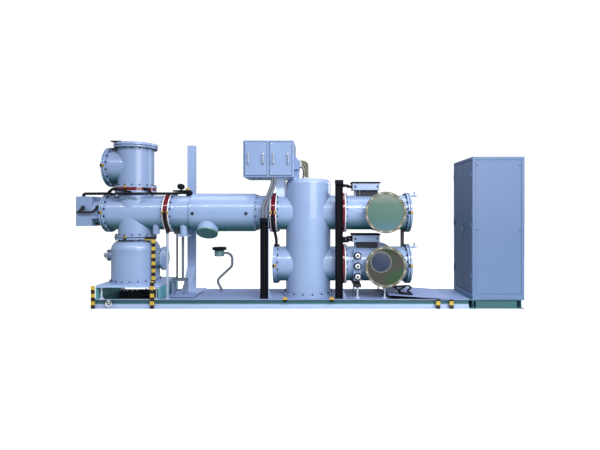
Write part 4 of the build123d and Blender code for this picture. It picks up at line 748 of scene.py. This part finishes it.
def bolt_shells(place, axis, size):
    """A washer, a nut and a stub of thread on a face."""
    washer = rod_shell(place, axis, size * 1.15, 0.004, 14)
    nut = round_shell(place, axis, (size, size, size * 0.86), (0.003, 0.014, 0.017), 6)
    stub = round_shell(place, axis, (size * 0.55, size * 0.55, size * 0.45), (0.010, 0.024, 0.026), 10)
    return [washer, nut, stub]


def bolt_ring(middle, axis, radius, count, size=0.015, shift=0.5):
    """Bolts evenly round a circle on a face."""
    shells = []
    for spoke in circle_spokes(*cross_directions(axis), count, shift):
        shells.extend(bolt_shells(Vector(middle) + spoke * radius, axis, size))
    return shells


def flange_bolts(joint, axis, radius=bolt_circle):
    """The ring of nuts on a flange, one thickness away from its joint."""
    return bolt_ring(Vector(joint) + axis * flange_thickness, axis, radius, ring_count)


tower_bolts = flange_bolts((tower_x, 0, tee_high.z), downward, top_bolt_circle)
for joint, axis in (
    ((switch_low.x, 0, upper_axis), along),
    ((switch_high.x, 0, upper_axis), back_along),
    ((adapter_low.x, 0, upper_axis), along),
    ((tower_x, 0, switch_high.z), downward),
    ((tower_x, 0, tee_low.z), upward),
    ((tee_low.x, 0, tee_port_axis), along),
    ((tower_x, 0, switch_low.z), upward),
    ((tower_x, 0, switch_low.z), downward),
):
    tower_bolts.extend(flange_bolts(joint, axis))
add_piece("tower_flange_bolts", tower_bolts, "bolt_steel")

line_bolts = flange_bolts((adapter_high.x, 0, upper_axis), back_along)
for axis_z in (upper_axis, lower_axis):
    for joint_x in (-breaker_reach, busbar_low.x):
        line_bolts.extend(flange_bolts((joint_x, 0, axis_z), along))
    for joint_x in (breaker_reach, busbar_high.x):
        line_bolts.extend(flange_bolts((joint_x, 0, axis_z), back_along))
add_piece("line_flange_bolts", line_bolts, "bolt_steel")

# %% [markdown]
# Bright rims at the spacers. The red of a spacer laps a little over the flange edges, and thin
# white hoops lie on the rest of those edges, so each joint reads as red between two white lines.
# Paint zones on the CAD flanges would need their faces cut, so thin hoops are laid round the rims.

# %% Rim hoops
red_lap = 0.011
rim_width = 0.017
rim_step = red_lap + rim_width / 2
hoops, red_bands = [], []
for left_x, right_x, axis_z in (
    (switch_high.x, adapter_low.x, upper_axis),
    (adapter_high.x, -breaker_reach, upper_axis),
    (breaker_reach, busbar_low.x, upper_axis),
    (breaker_reach, busbar_low.x, lower_axis),
):
    joint_middle = ((left_x + right_x) / 2, 0, axis_z)
    red_bands.append(hoop_shell(joint_middle, along, flange_radius, right_x - left_x + 2 * red_lap, 0.0015))
    for rim_x in (left_x - rim_step, right_x + rim_step):
        hoops.append(hoop_shell((rim_x, 0, axis_z), along, flange_radius, rim_width))
add_piece("bright_rims", hoops, "white_line")
add_piece("red_joint_bands", red_bands, "spacer_resin")

# %% [markdown]
# Earth links. Every insulated joint is bridged by a short copper strap painted yellow and
# black, bolted to the flange on each side. The bands run along the strap, so a strap over a
# red spacer is three blocks in a row, yellow, black, yellow. At a blind cover it is shorter,
# one black block and one yellow.

# %% Earth links
spacer_bands = ("link_yellow", "black_plastic", "link_yellow")
cover_bands = ("black_plastic", "link_yellow")
link_lengths = {spacer_bands: 0.112, cover_bands: 0.066}
link_width = 0.046
link_thickness = 0.007
link_seat = flange_radius + 0.003
half_spacer = 0.025
link_bolt_share = 0.36
link_parts = {"link_yellow": [], "black_plastic": []}
link_bolts = []


def earth_link(middle, run, outward, bands):
    """A strap across a joint: run is its long direction, outward points away from the tank."""
    length = link_lengths[bands]
    step = length / len(bands)
    for number, band in enumerate(bands):
        start = number * step - length / 2
        link_parts[band].append(
            turned_block(middle, run, run.cross(outward), outward, (start, start + step), link_width / 2,
                         link_thickness)
        )
    for at in (-link_bolt_share, link_bolt_share):
        link_bolts.extend(bolt_shells(middle + run * at * length + outward * link_thickness, outward, 0.008))


for joint_x, joint_z, bands in (
    (switch_high.x + half_spacer, upper_axis, spacer_bands),
    (-breaker_reach - half_spacer, upper_axis, spacer_bands),
    (switch_low.x, upper_axis, cover_bands),
    (-breaker_reach - 0.002, lower_axis, cover_bands),
    (busbar_high.x, upper_axis, cover_bands),
    (busbar_high.x, lower_axis, cover_bands),
    (tee_low.x, tee_port_axis, cover_bands),
):
    earth_link(Vector((joint_x, -link_seat, joint_z)), along, toward_viewer, bands)
diagonal = Vector((-0.12, -0.993, 0)).normalized()
for joint_z, bands in ((switch_high.z + half_spacer, spacer_bands), (switch_low.z, cover_bands)):
    earth_link(Vector((tower_x, 0, joint_z)) + diagonal * link_seat, upward, diagonal, bands)
add_piece("earth_link_yellow", link_parts["link_yellow"], "link_yellow")
add_piece("earth_link_black", link_parts["black_plastic"], "black_plastic")
add_piece("earth_link_bolts", link_bolts, "bolt_steel")

# %% [markdown]
# Front covers of the busbar tanks. Each is a round plate held by an olive clamping ring with a
# bolt through every hole of the CAD circle, and short white dashes of sealant between them.
# The lower plate is a clear sheet that lets a round contact plate show through, so a dark disc
# with a rim is laid on its face rather than making the whole plate glassy.

# %% Front cover rings
cover_front = front_low.y
clamp_inner = 0.277
clamp_outer = 0.319
cover_bolt_circle = 0.300
cover_bolt_count = 12
ring_shells, cover_bolts, dashes = [], [], []
for axis_z in (upper_axis, lower_axis):
    middle = Vector((port_x, cover_front, axis_z))
    ring_shells.append(flat_ring(middle, toward_viewer, clamp_inner, clamp_outer, 0.006))
    seat = middle + toward_viewer * 0.005
    cover_bolts.extend(bolt_ring(seat, toward_viewer, cover_bolt_circle, cover_bolt_count, 0.012, 0.0))
    for spoke in circle_spokes(*cross_directions(toward_viewer), cover_bolt_count, 0.5):
        sweep = spoke.cross(toward_viewer)
        dash_place = seat + spoke * cover_bolt_circle
        dashes.append(turned_block(dash_place, sweep, spoke, toward_viewer, (-0.020, 0.020), 0.003, 0.003))
add_piece("front_clamp_rings", ring_shells, "clamp_ring")
add_piece("front_cover_bolts", cover_bolts, "clamp_ring")
add_piece("sealant_dashes", dashes, "white_line")
disc_place = Vector((port_x - 0.074, cover_front, lower_axis + 0.076))
disc_radius = plug_kinds["contact disc"][0][0]
add_piece("contact_disc", [plug_shell("contact disc", disc_place, toward_viewer)], "contact_disc")
add_piece("contact_rim", [flat_ring(disc_place, toward_viewer, disc_radius, 0.166, 0.003)], "disc_rim")

# %% [markdown]
# Earthing terminals. Each bushing on the pad is a dark collar, a white insulator and a dark
# ring round a dark stud, so it reads as a target. All are turned shells on one axis.

# %% Earthing terminal faces
pad_low, pad_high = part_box("earthing_terminals")
pad_x = (pad_low.x + pad_high.x) / 2
bushing_pitch = 0.163
bushing_length = 0.025
terminal_dark, terminal_white, terminal_studs = [], [], []
for step in (-1, 0, 1):
    face = Vector((pad_x, pad_low.y, lower_axis + step * bushing_pitch))
    collar = face - toward_viewer * bushing_length
    terminal_dark.append(flat_ring(collar, toward_viewer, 0.041, 0.0595, 0.006, 48))
    terminal_white.append(plug_shell("insulator", face, toward_viewer))
    terminal_dark.append(flat_ring(face + toward_viewer * 0.008, toward_viewer, 0.012, 0.018, 0.003, 32))
    terminal_studs.append(plug_shell("stud", face + toward_viewer * 0.006, toward_viewer))
add_piece("terminal_collars", terminal_dark, "black_plastic")
add_piece("terminal_insulators", terminal_white, "white_line")
add_piece("terminal_studs", terminal_studs, "dark_steel")

# %% [markdown]
# Fittings on the tanks: dark plugs on the transformer tank, its end-plate bolts, weld beads
# where the tubes are rolled together, bolts round the breaker's foot and the ports, and the
# dark edge of the seal in the joints of the blind covers, which is also painted shade in the
# joint gap.

# %% Tank fittings
plug_y = upper_axis - transformer_high.z + 0.004
plug_columns = (transformer_low.x + 0.055, transformer_high.x - 0.145)
plugs = plug_grid("tank plug", plug_columns, plug_y, (upper_axis - 0.016,), toward_viewer)
add_piece("transformer_plugs", plugs, "dark_steel")

foot_top = breaker_low.z + 0.045
port_low, port_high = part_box("vessel_port_cover")
port_z = (port_low.z + port_high.z) / 2
valve_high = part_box("vessel_filling_valve")[1]
valve_z = 0.780
small_bolt_rows = (
    # middle, axis, radius, count, size
    ((transformer_high.x - 0.012, 0, upper_axis), along, 0.2885, 16, 0.008),
    ((0, 0, foot_top), upward, 0.388, 16, 0.013),
    ((tower_x, 0, vessel_low.z + 0.030), upward, 0.3835, 20, 0.009),
    ((port_low.x, 0, port_z), back_along, 0.178, 16, 0.009),
    ((valve_high.x - 0.022, 0, valve_z), back_along, 0.080, 8, 0.007),
)
small_bolts = [shell for row in small_bolt_rows for shell in bolt_ring(*row)]
add_piece("small_bolts", small_bolts, "bolt_steel")

beads = [hoop_shell((0, 0, breaker_high.z - 0.085), upward, 0.3645, 0.010, 0.003)]
for bead_z in (vessel_high.z - 0.205, vessel_high.z - 0.255):
    beads.append(hoop_shell((tower_x, 0, bead_z), upward, 0.3715, 0.012, 0.005))
for bead_x in (transformer_low.x + 0.004, transformer_low.x + 0.075):
    beads.append(hoop_shell((bead_x, 0, upper_axis), along, 0.3095, 0.008, 0.002))
add_piece("weld_beads", beads, "tank_paint")

# Dark seal edges that also stand for painted shade in the joint gaps.
seal_rise = 0.0012
seal_and_shade_rows = (
    # middle, axis, radius, width
    ((tower_x, 0, tee_high.z), upward, top_flange_radius, 0.010),
    ((tower_x, 0, switch_low.z), upward, flange_radius, 0.014),
    ((tee_low.x, 0, tee_port_axis), along, flange_radius, 0.008),
    ((switch_low.x, 0, upper_axis), along, flange_radius, 0.008),
    ((busbar_high.x, 0, upper_axis), along, flange_radius, 0.010),
    ((busbar_high.x, 0, lower_axis), along, flange_radius, 0.010),
)
add_piece("joint_seals_and_shade", [hoop_shell(*row, seal_rise) for row in seal_and_shade_rows], "black_rubber")

# %% [markdown]
# Conduits. The wiring runs in ribbed flexible tube from housing to housing, with a gland at
# each end. The CAD gives the smooth routes; here each route's points are repeated and the
# corners rounded with the same bends, and rings of two radii in turn make the ribs. A bump
# map would be lighter, but the ribs show in the outline, so they are real rings.

# %% Ribbed tube helpers
end_share = 0.98
middle_share = 0.49


def fitting_bend(points, bend):
    """The named bend, or the largest that the runs of a route have room for."""
    runs = [after - before for before, after in zip(points, points[1:])]
    last = len(runs) - 1
    for number in range(last):
        room_before = runs[number].length * (end_share if number == 0 else middle_share)
        room_after = runs[number + 1].length * (end_share if number + 1 == last else middle_share)
        half_turn = runs[number].angle(runs[number + 1]) / 2
        bend = min(bend, min(room_before, room_after) / math.tan(half_turn))
    return bend


def rounded_route(points, bend, arc_steps=8):
    """The points of a route whose corners are rounded by arcs of one radius."""
    points = [Vector(point) for point in points]
    bend = fitting_bend(points, bend)
    route = [points[0]]
    for before, corner, after in zip(points, points[1:], points[2:]):
        arrive = (corner - before).normalized()
        leave = (after - corner).normalized()
        turn = arrive.angle(leave)
        setback = bend * math.tan(turn / 2)
        start, end = corner - arrive * setback, corner + leave * setback
        centre = corner + (leave - arrive).normalized() * (bend / math.cos(turn / 2))
        for step in range(arc_steps + 1):
            spoke = (start - centre).slerp(end - centre, step / arc_steps)
            route.append(centre + spoke.normalized() * bend)
    route.append(points[-1])
    return route


def spaced_route(route, spacing):
    """Points at even distances along a route, with the direction at each."""
    lengths = [(b - a).length for a, b in zip(route, route[1:])]
    total = sum(lengths)
    count = max(2, round(total / spacing))
    places = []
    leg, done = 0, 0.0
    for number in range(count + 1):
        target = total * number / count
        while leg < len(lengths) - 1 and done + lengths[leg] < target:
            done += lengths[leg]
            leg += 1
        leg_share = (target - done) / lengths[leg]
        direction = (route[leg + 1] - route[leg]).normalized()
        places.append((route[leg].lerp(route[leg + 1], min(leg_share, 1.0)), direction))
    return places


tube_kinds = {
    # outer radius, depth of the ribs, pitch of the ribs
    "hose": (0.022, 0.0018, 0.012),
    "loop": (0.017, 0.0015, 0.012),
    "drop": (0.024, 0.0028, 0.012),
    "plate hose": (0.015, 0.0015, 0.010),
    "cable": (0.014, 0.0015, 0.010),
    "grey conduit": (0.024, 0.0015, 0.010),
    "metal hose": (0.025, 0.006, 0.026),
    "gooseneck": (0.022, 0.0018, 0.010),
    "grip": (0.0085, 0.0, 0.008),
    "shackle": (0.009, 0.0, 0.008),
}


def ribbed_tube(kind, points, bend, sides=14):
    """A tube along a rounded route, with ribs where the radius alternates."""
    radius, rib_depth, pitch = tube_kinds[kind]
    places = spaced_route(rounded_route(points, bend), pitch / 2)
    first = cross_directions(places[0][1])[0]
    rings = []
    for number, (place, direction) in enumerate(places):
        first = (first - direction * first.dot(direction)).normalized()
        size = radius - (rib_depth if number % 2 else 0.0)
        rings.extend(place + spoke * size for spoke in circle_spokes(first, direction.cross(first), sides))
    return rings, tube_faces(len(places), sides)


print("tube helpers ready, kinds:", len(tube_kinds))

# %% [markdown]
# Black conduits and cables. Four kinds of tube run in black: the hoses between housings, the
# loops in front of the tee joint, the heavier drops beside the tanks and thin hoses on the loose
# deck plate. Cables lie on that plate too and stand in the two troughs. They are all one rubber,
# so they become one piece, which takes the place of the smooth CAD conduits.

# %% Black conduits
spacer_hose_y = -0.230
routes_black = [
    ([(-3.600, -0.170, 1.738), (-3.600, -0.170, 1.783), (-3.1805, spacer_hose_y, 1.783),
      (-3.1105, spacer_hose_y, 1.857), (-3.0685, spacer_hose_y, 1.857)], 0.028),
    ([(-2.5975, spacer_hose_y, 1.857), (-2.5555, spacer_hose_y, 1.857), (-2.4855, spacer_hose_y, 1.783),
      (-2.1613, spacer_hose_y, 1.783), (-2.0513, -0.060, 1.803), (-1.9913, -0.060, 1.803)], 0.028),
]
trough_y = -0.410
drive_y = -0.110
for hose_z in (1.8985, 1.039, 1.084):
    hose = [(0.5423, trough_y, hose_z), (0.6203, trough_y, hose_z), (0.6377, drive_y, hose_z),
            (0.7157, drive_y, hose_z)]
    routes_black.append((hose, 0.050))
routes_loop = (
    [(-3.150, -0.236, 1.790), (-3.050, -0.345, 1.772), (-2.620, -0.345, 1.772), (-2.510, -0.236, 1.790)],
    [(-3.190, -0.200, 1.806), (-3.080, -0.330, 1.842), (-2.930, -0.355, 1.835), (-2.760, -0.345, 1.800)],
)
routes_side = [
    [(-2.172, -0.410, 1.160), (-2.172, -0.410, 1.260), (-2.248, -0.345, 1.382), (-2.248, -0.345, 1.482)],
    [(-0.550, -0.348, 1.440), (-0.550, -0.348, 1.330), (-0.510, -0.150, 1.0525), (-0.510, -0.150, 0.9395)],
]
plate_hoses = (
    [(1.270, -0.250, 0.360), (1.330, -0.250, 0.306), (1.590, -0.250, 0.322), (1.650, -0.250, 0.296),
     (1.560, -0.250, 0.236), (1.640, -0.250, 0.206)],
    [(1.540, -0.275, 0.316), (1.430, -0.290, 0.262), (1.440, -0.290, 0.212), (1.560, -0.300, 0.204)],
)
black_shells = [ribbed_tube("hose", points, bend) for points, bend in routes_black]
for kind, routes, bend in (
    ("loop", routes_loop, 0.120),
    ("drop", routes_side, 0.150),
    ("plate hose", plate_hoses, 0.040),
):
    black_shells.extend(ribbed_tube(kind, points, bend) for points in routes)
for cable_y in (-0.330, -0.298, -0.266):
    cable = [(1.2553, cable_y, 0.3425), (1.3203, cable_y, 0.3425), (1.480, cable_y, 0.2115),
             (1.640, cable_y, 0.2006)]
    black_shells.append(ribbed_tube("cable", cable, 0.100))
cable_foot = 0.146
trough_width = 0.118
for trough_start, cable_top in ((-0.734, 1.393), (0.424, 1.980)):
    for number in (1, 2, 3):
        cable_place = (trough_start + trough_width * number / 4, -0.3973, cable_foot)
        black_shells.append(rod_shell(cable_place, upward, 0.0124, cable_top - cable_foot, 16))
black_conduits = add_piece("black_conduits", black_shells, "black_rubber")
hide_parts("conduits")

# %% [markdown]
# Grey conduits, metal hoses and the gooseneck. Two grey tubes lead from the mechanism box to
# the left trough, three coarse bronze ones from the gland housing to the breaker's top, and
# the gauge stands on a bent grey gooseneck, which takes the place of the smooth CAD one.

# %% Grey and metal conduits
grey_starts = (-0.562, -0.520)
grey_shells = []
for start_x, end_x in zip(grey_starts, (-0.701, -0.649)):
    grey_route = [(start_x, -0.290, 2.040), (start_x, -0.290, 1.930), (end_x, trough_y, 1.557),
                  (end_x, trough_y, 1.397)]
    grey_shells.append(ribbed_tube("grey conduit", grey_route, 0.300))
add_piece("grey_conduits", grey_shells, "grey_conduit")

metal_routes = []
for number, gland_y in enumerate((-0.045, 0.020, 0.085)):
    start_z, end_x = 2.237 + 0.045 * number, -0.070 + 0.025 * number
    metal_routes.append([(-0.147, gland_y, start_z), (end_x, gland_y, start_z), (end_x, gland_y, 2.020)])
add_piece("metal_hoses", [ribbed_tube("metal hose", points, 0.070) for points in metal_routes], "bronze")

gooseneck_y = 0.200
gooseneck_route = [
    (-1.430, gooseneck_y, 0.7975), (-1.290, gooseneck_y, 0.7975), (-1.290, gooseneck_y, 0.5775),
    (-1.560, gooseneck_y, 0.330), (-1.468, gooseneck_y, 0.186), (-1.468, gooseneck_y, 0.146),
]
gooseneck_shell = ribbed_tube("gooseneck", gooseneck_route, 0.110)
gooseneck = add_piece("ribbed_gooseneck", [gooseneck_shell], "grey_conduit")
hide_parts("gauge_gooseneck")

# %% [markdown]
# Glands. Where a conduit enters a housing it has a screwed gland: a hexagon on the housing and
# a round cap on the tube. They are turned shells set on the end points of the routes.


# %% Conduit glands
def gland_shells(place, axis, radius):
    """A hexagon and a cap where a tube enters a housing."""
    hexagon = rod_shell(place, axis, radius * 1.5, 0.014, 6)
    cap = round_shell(place, axis, (radius * 1.32, radius * 1.32, radius * 1.12), (0.012, 0.034, 0.040), 20)
    return [hexagon, cap]


black_gland = 0.01805
grey_gland = 0.01615
metal_gland = 0.02565
glands = []
for points in [points for points, _ in routes_black] + routes_side:
    for here, there in ((points[0], points[1]), (points[-1], points[-2])):
        glands.extend(gland_shells(here, Vector(there) - Vector(here), black_gland))
add_piece("black_glands", glands, "black_plastic")
bright_glands = []
for start_x in grey_starts:
    bright_glands.extend(gland_shells((start_x, -0.290, 2.040), downward, grey_gland))
for points in metal_routes:
    bright_glands.extend(gland_shells(points[0], along, metal_gland))
    bright_glands.extend(gland_shells(points[-1], upward, metal_gland))
add_piece("bright_glands", bright_glands, "zinc_steel")

# %% [markdown]
# Mechanism box. The two lift-off covers have a line of painted shadow at their edge, bright
# handles and a screw in each corner. The shadow line is four thin dark strips, the handles are
# round bars bent at both ends laid over the plain CAD handles. Two dark plugs hang under the box,
# and a pale skirt closes the space under the gland housing.


# %% Mechanism covers
def edge_strips(low_x, high_x, low_z, high_z, face_y, width):
    """Four thin strips that follow a panel's edge on a face toward the viewer."""
    front, back = face_y - 0.001, face_y + 0.001
    inner_left, inner_right = low_x + width, high_x - width
    return [
        box_shell((low_x, front, low_z), (inner_left, back, high_z)),
        box_shell((inner_right, front, low_z), (high_x, back, high_z)),
        box_shell((inner_left, front, low_z), (inner_right, back, low_z + width)),
        box_shell((inner_left, front, high_z - width), (inner_right, back, high_z)),
    ]


box_low, box_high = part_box("mechanism_box")
cover_low, cover_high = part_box("mechanism_covers")
panel_face = box_low.y - 0.012
panel_width = 0.352
grip_low = 2.246
grip_high = 2.406
grip_y = panel_face - 0.034
screw_inset = 0.030
screw_rows = (cover_low.z + screw_inset, cover_high.z - screw_inset)
cover_shadow_lines, grips, cover_screws = [], [], []
for left in (cover_low.x, cover_high.x - panel_width):
    right = left + panel_width
    # Painted shadow: thin dark strips along each cover's edge.
    cover_shadow_lines.extend(edge_strips(left, right, cover_low.z, cover_high.z, panel_face, 0.007))
    for grip_x in (left + 0.060, right - 0.060):
        grip_route = [(grip_x, panel_face, grip_low), (grip_x, grip_y, grip_low), (grip_x, grip_y, grip_high),
                      (grip_x, panel_face, grip_high)]
        grips.append(ribbed_tube("grip", grip_route, 0.016))
        for base_z in (grip_low, grip_high):
            grips.append(rod_shell((grip_x, panel_face, base_z), toward_viewer, 0.015, 0.004, 20))
    columns = (left + screw_inset, right - screw_inset)
    cover_screws.extend(plug_grid("cover screw", columns, panel_face, screw_rows, toward_viewer))
add_piece("cover_shadow_lines", cover_shadow_lines, "seam_line")
box_plugs = plug_grid("box plug", (-0.894, -0.791), -0.035, (box_low.z,), downward)
add_piece("box_plugs", box_plugs, "dark_steel")
skirt = box_shell((-0.226, -0.060, breaker_high.z - 0.004), (box_high.x - 0.002, 0.100, 2.175))
add_piece("gland_skirt", [skirt], "mechanism_paint")
add_piece("cover_handles", grips, "zinc_steel")
add_piece("cover_screws", cover_screws, "zinc_steel")

# %% [markdown]
# Control cabinet. The front panel is held by four dark screws with a dark seam round it, and
# the door has a swing handle on its plate, which rides on the door leaf and opens with it.

# %% Cabinet fittings
panel_low, panel_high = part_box("cabinet_panels")
cabinet_face = panel_low.y
front_edge_right = 3.289
front_screws = plug_grid("panel screw", (2.603, 3.264), cabinet_face, (2.205, 1.213), toward_viewer)
add_piece("cabinet_screws", front_screws, "bolt_steel")
seam = edge_strips(panel_low.x, front_edge_right, panel_low.z, panel_high.z, cabinet_face, 0.005)
add_piece("cabinet_seam", seam, "seam_line")

door_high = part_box("cabinet_door_front")[1]
door_bottom = 0.224
door_top = 2.295
handle_z = door_bottom + 0.475 * (door_top - door_bottom)
plate_y = door_high.y - 0.029
plate_x = 2.523
boss = plug_shell("handle boss", (plate_x, plate_y, handle_z + 0.045), back_along)
swing_low = (plate_x - 0.007, plate_y - 0.008, handle_z - 0.055)
swing_high = (plate_x, plate_y + 0.008, handle_z + 0.050)
add_piece("door_handle", [boss, box_shell(swing_low, swing_high)], "zinc_steel", "front_door_leaf")

# %% [markdown]
# Drive linkage. In the photograph the levers and the rod are heavier than the bare plates: a
# round cap covers each shaft end, and a sleeve lies round the rod between its eyes. Each of
# them rides on its own moving body, so it turns with the lever or travels with the rod. The
# drive neck behind them has a dark bar under its shelf and a drain plug at its lowest side.

# %% Lever caps and rod sleeve
lever_face = -0.234
shaft_gap = 0.0003
pivot_z = 1.560
for body, pivot_x in (("drive_lever", -3.576), ("switch_lever", -3.350)):
    cap = plug_shell("lever cap", (pivot_x, lever_face - shaft_gap, pivot_z), toward_viewer)
    add_piece(body + "_cap", [cap], "dark_steel", body)
rod_z = 1.4877
sleeve_half = 0.020
rod_sleeve = box_shell((-3.630, -0.253, rod_z - sleeve_half), (-3.455, -0.2385, rod_z + sleeve_half))
add_piece("link_rod_sleeve", [rod_sleeve], "dark_steel", "link_rod")
shelf_under = upper_axis - 0.097
shelf_bar = box_shell((-3.424, -0.215, shelf_under - 0.020), (-3.322, -0.150, shelf_under))
drain_plug = plug_shell("drain plug", (-3.418, -0.100, 1.335), downward)
add_piece("neck_fittings", [shelf_bar, drain_plug], "dark_steel")

# %% [markdown]
# Small hardware on the tanks: the green sleeve of the gauge, the yellow ring of the gas monitor,
# a lifting lug on the top cover and bolts under the table's ring.

# %% Gauge, monitor, lug and table bolts
gauge_low, gauge_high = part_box("gas_gauge")
gauge_middle = (gauge_low + gauge_high) / 2
sleeve_middle = (gauge_middle.x, gauge_middle.y, gauge_low.z + 0.052)
add_piece("gauge_sleeve", [hoop_shell(sleeve_middle, upward, 0.078, 0.086, 0.003)], "gauge_sleeve")
add_piece("monitor_ring", [hoop_shell((-1.985, 0, 1.868), upward, 0.024, 0.030, 0.008, 32)], "link_yellow")
lug = box_shell((-3.112, -0.295, 2.600), (-2.955, -0.205, 2.616))
add_piece("lifting_lug", [lug], "dark_steel")
add_piece("table_ring_bolts", bolt_ring((tower_x, 0, 0.254), downward, 0.232, 20, 0.012), "zinc_steel")

# %% [markdown]
# Busbar drives. Each drive box has a round post at either end, a dark plug beside each post and
# a dark base between it and the tank. The upper base is in two parts, so that daylight shows
# between them as in the photograph.

# %% Busbar drive fittings
drive_height = 0.107
drive_front_y = -0.150
base_depth = 0.105
base_left = 0.785
base_right = 1.130
base_half = 0.100
upper_bottom = 1.952 - drive_height
lower_bottom = 1.115 - drive_height
drive_posts, drive_plugs, drive_bases = [], [], []
for bottom in (upper_bottom, lower_bottom):
    for post_x in (0.730, 1.136):
        drive_posts.append(rod_shell((post_x, -0.146, bottom), upward, 0.017, drive_height, 20))
    plug_row = (bottom + drive_height / 2,)
    drive_plugs.extend(plug_grid("drive plug", (0.762, 1.118), drive_front_y, plug_row, toward_viewer))
for left, right, top in (
    (base_left, 0.838, upper_bottom),
    (0.862, base_right, upper_bottom),
    (base_left, base_right, lower_bottom),
):
    drive_bases.append(box_shell((left, -base_half, top - base_depth), (right, base_half, top)))
add_piece("drive_end_posts", drive_posts, "riser_paint")
add_piece("drive_bases", drive_bases, "dark_steel")
add_piece("drive_end_plugs", drive_plugs, "bolt_steel")

# %% [markdown]
# On the skid: a shackle with its pin on the front rail, the thin plate on the deck beside the
# rear post with a strip of painted shadow along its front and right edges, the wrap and the
# sleeve on the two support rods, and two painted straps at the breaker's foot.

# %% Skid fittings
shackle_y = -0.460
shackle_left = -3.100
shackle_right = -3.014
bow = [(shackle_left, shackle_y, 0.112), (shackle_left, shackle_y, 0.040), (shackle_right, shackle_y, 0.040),
       (shackle_right, shackle_y, 0.112)]
tongue = box_shell((-3.076, -0.466, 0.086), (-3.038, -0.450, 0.132))
add_piece("rail_shackle", [ribbed_tube("shackle", bow, 0.042), tongue], "white_line")
pin_radii = (0.016, 0.016, 0.009, 0.009, 0.016, 0.016)
pin_steps = (0, 0.014, 0.015, 0.115, 0.116, 0.130)
shackle_pin = round_shell((-3.122, shackle_y, 0.106), along, pin_radii, pin_steps, 18)
add_piece("shackle_pin", [shackle_pin], "dark_steel")

deck_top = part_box("deck_plates")[1].z
patch_left = -2.170
patch_right = -1.785
patch_front = -0.346
patch_back = 0.200
patch_top = deck_top + 0.008
edge_width = 0.010
edge_front = patch_front - edge_width
patch_plate = box_shell((patch_left, patch_front, deck_top), (patch_right, patch_back, patch_top))
add_piece("deck_patch_plate", [patch_plate], "deck_paint")
# Painted shadow: dark strips along the plate's front and right edges.
patch_edge_shadows = [
    box_shell((patch_left, edge_front, deck_top), (patch_right, patch_front, patch_top)),
    box_shell((patch_right, edge_front, deck_top), (patch_right + edge_width, patch_back, patch_top)),
]
add_piece("deck_patch_edge_shadows", patch_edge_shadows, "dark_steel")

rod_middle = -2.110
rod_spread = 0.048
stand_top = 0.400
rod_run = 1.130 - stand_top
wrapped_rod = rod_shell((rod_middle - rod_spread, 0, stand_top), upward, 0.014, rod_run, 20)
add_piece("support_rod_wrap", [wrapped_rod], "black_rubber")
sleeved_rod = rod_shell((rod_middle + rod_spread, 0, stand_top), upward, 0.021, rod_run, 20)
add_piece("support_rod_sleeve", [sleeved_rod], "grey_conduit")

strap_yellow, strap_black = [], []
for strap_x in (-0.349, 0.370):
    strap_yellow.append(box_shell((strap_x - 0.034, -0.463, 0.142), (strap_x + 0.034, -0.385, 0.172)))
    strap_black.append(box_shell((strap_x - 0.030, -0.461, 0.108), (strap_x + 0.030, -0.450, 0.142)))
add_piece("foot_straps", strap_yellow, "link_yellow")
add_piece("foot_strap_ends", strap_black, "black_plastic")
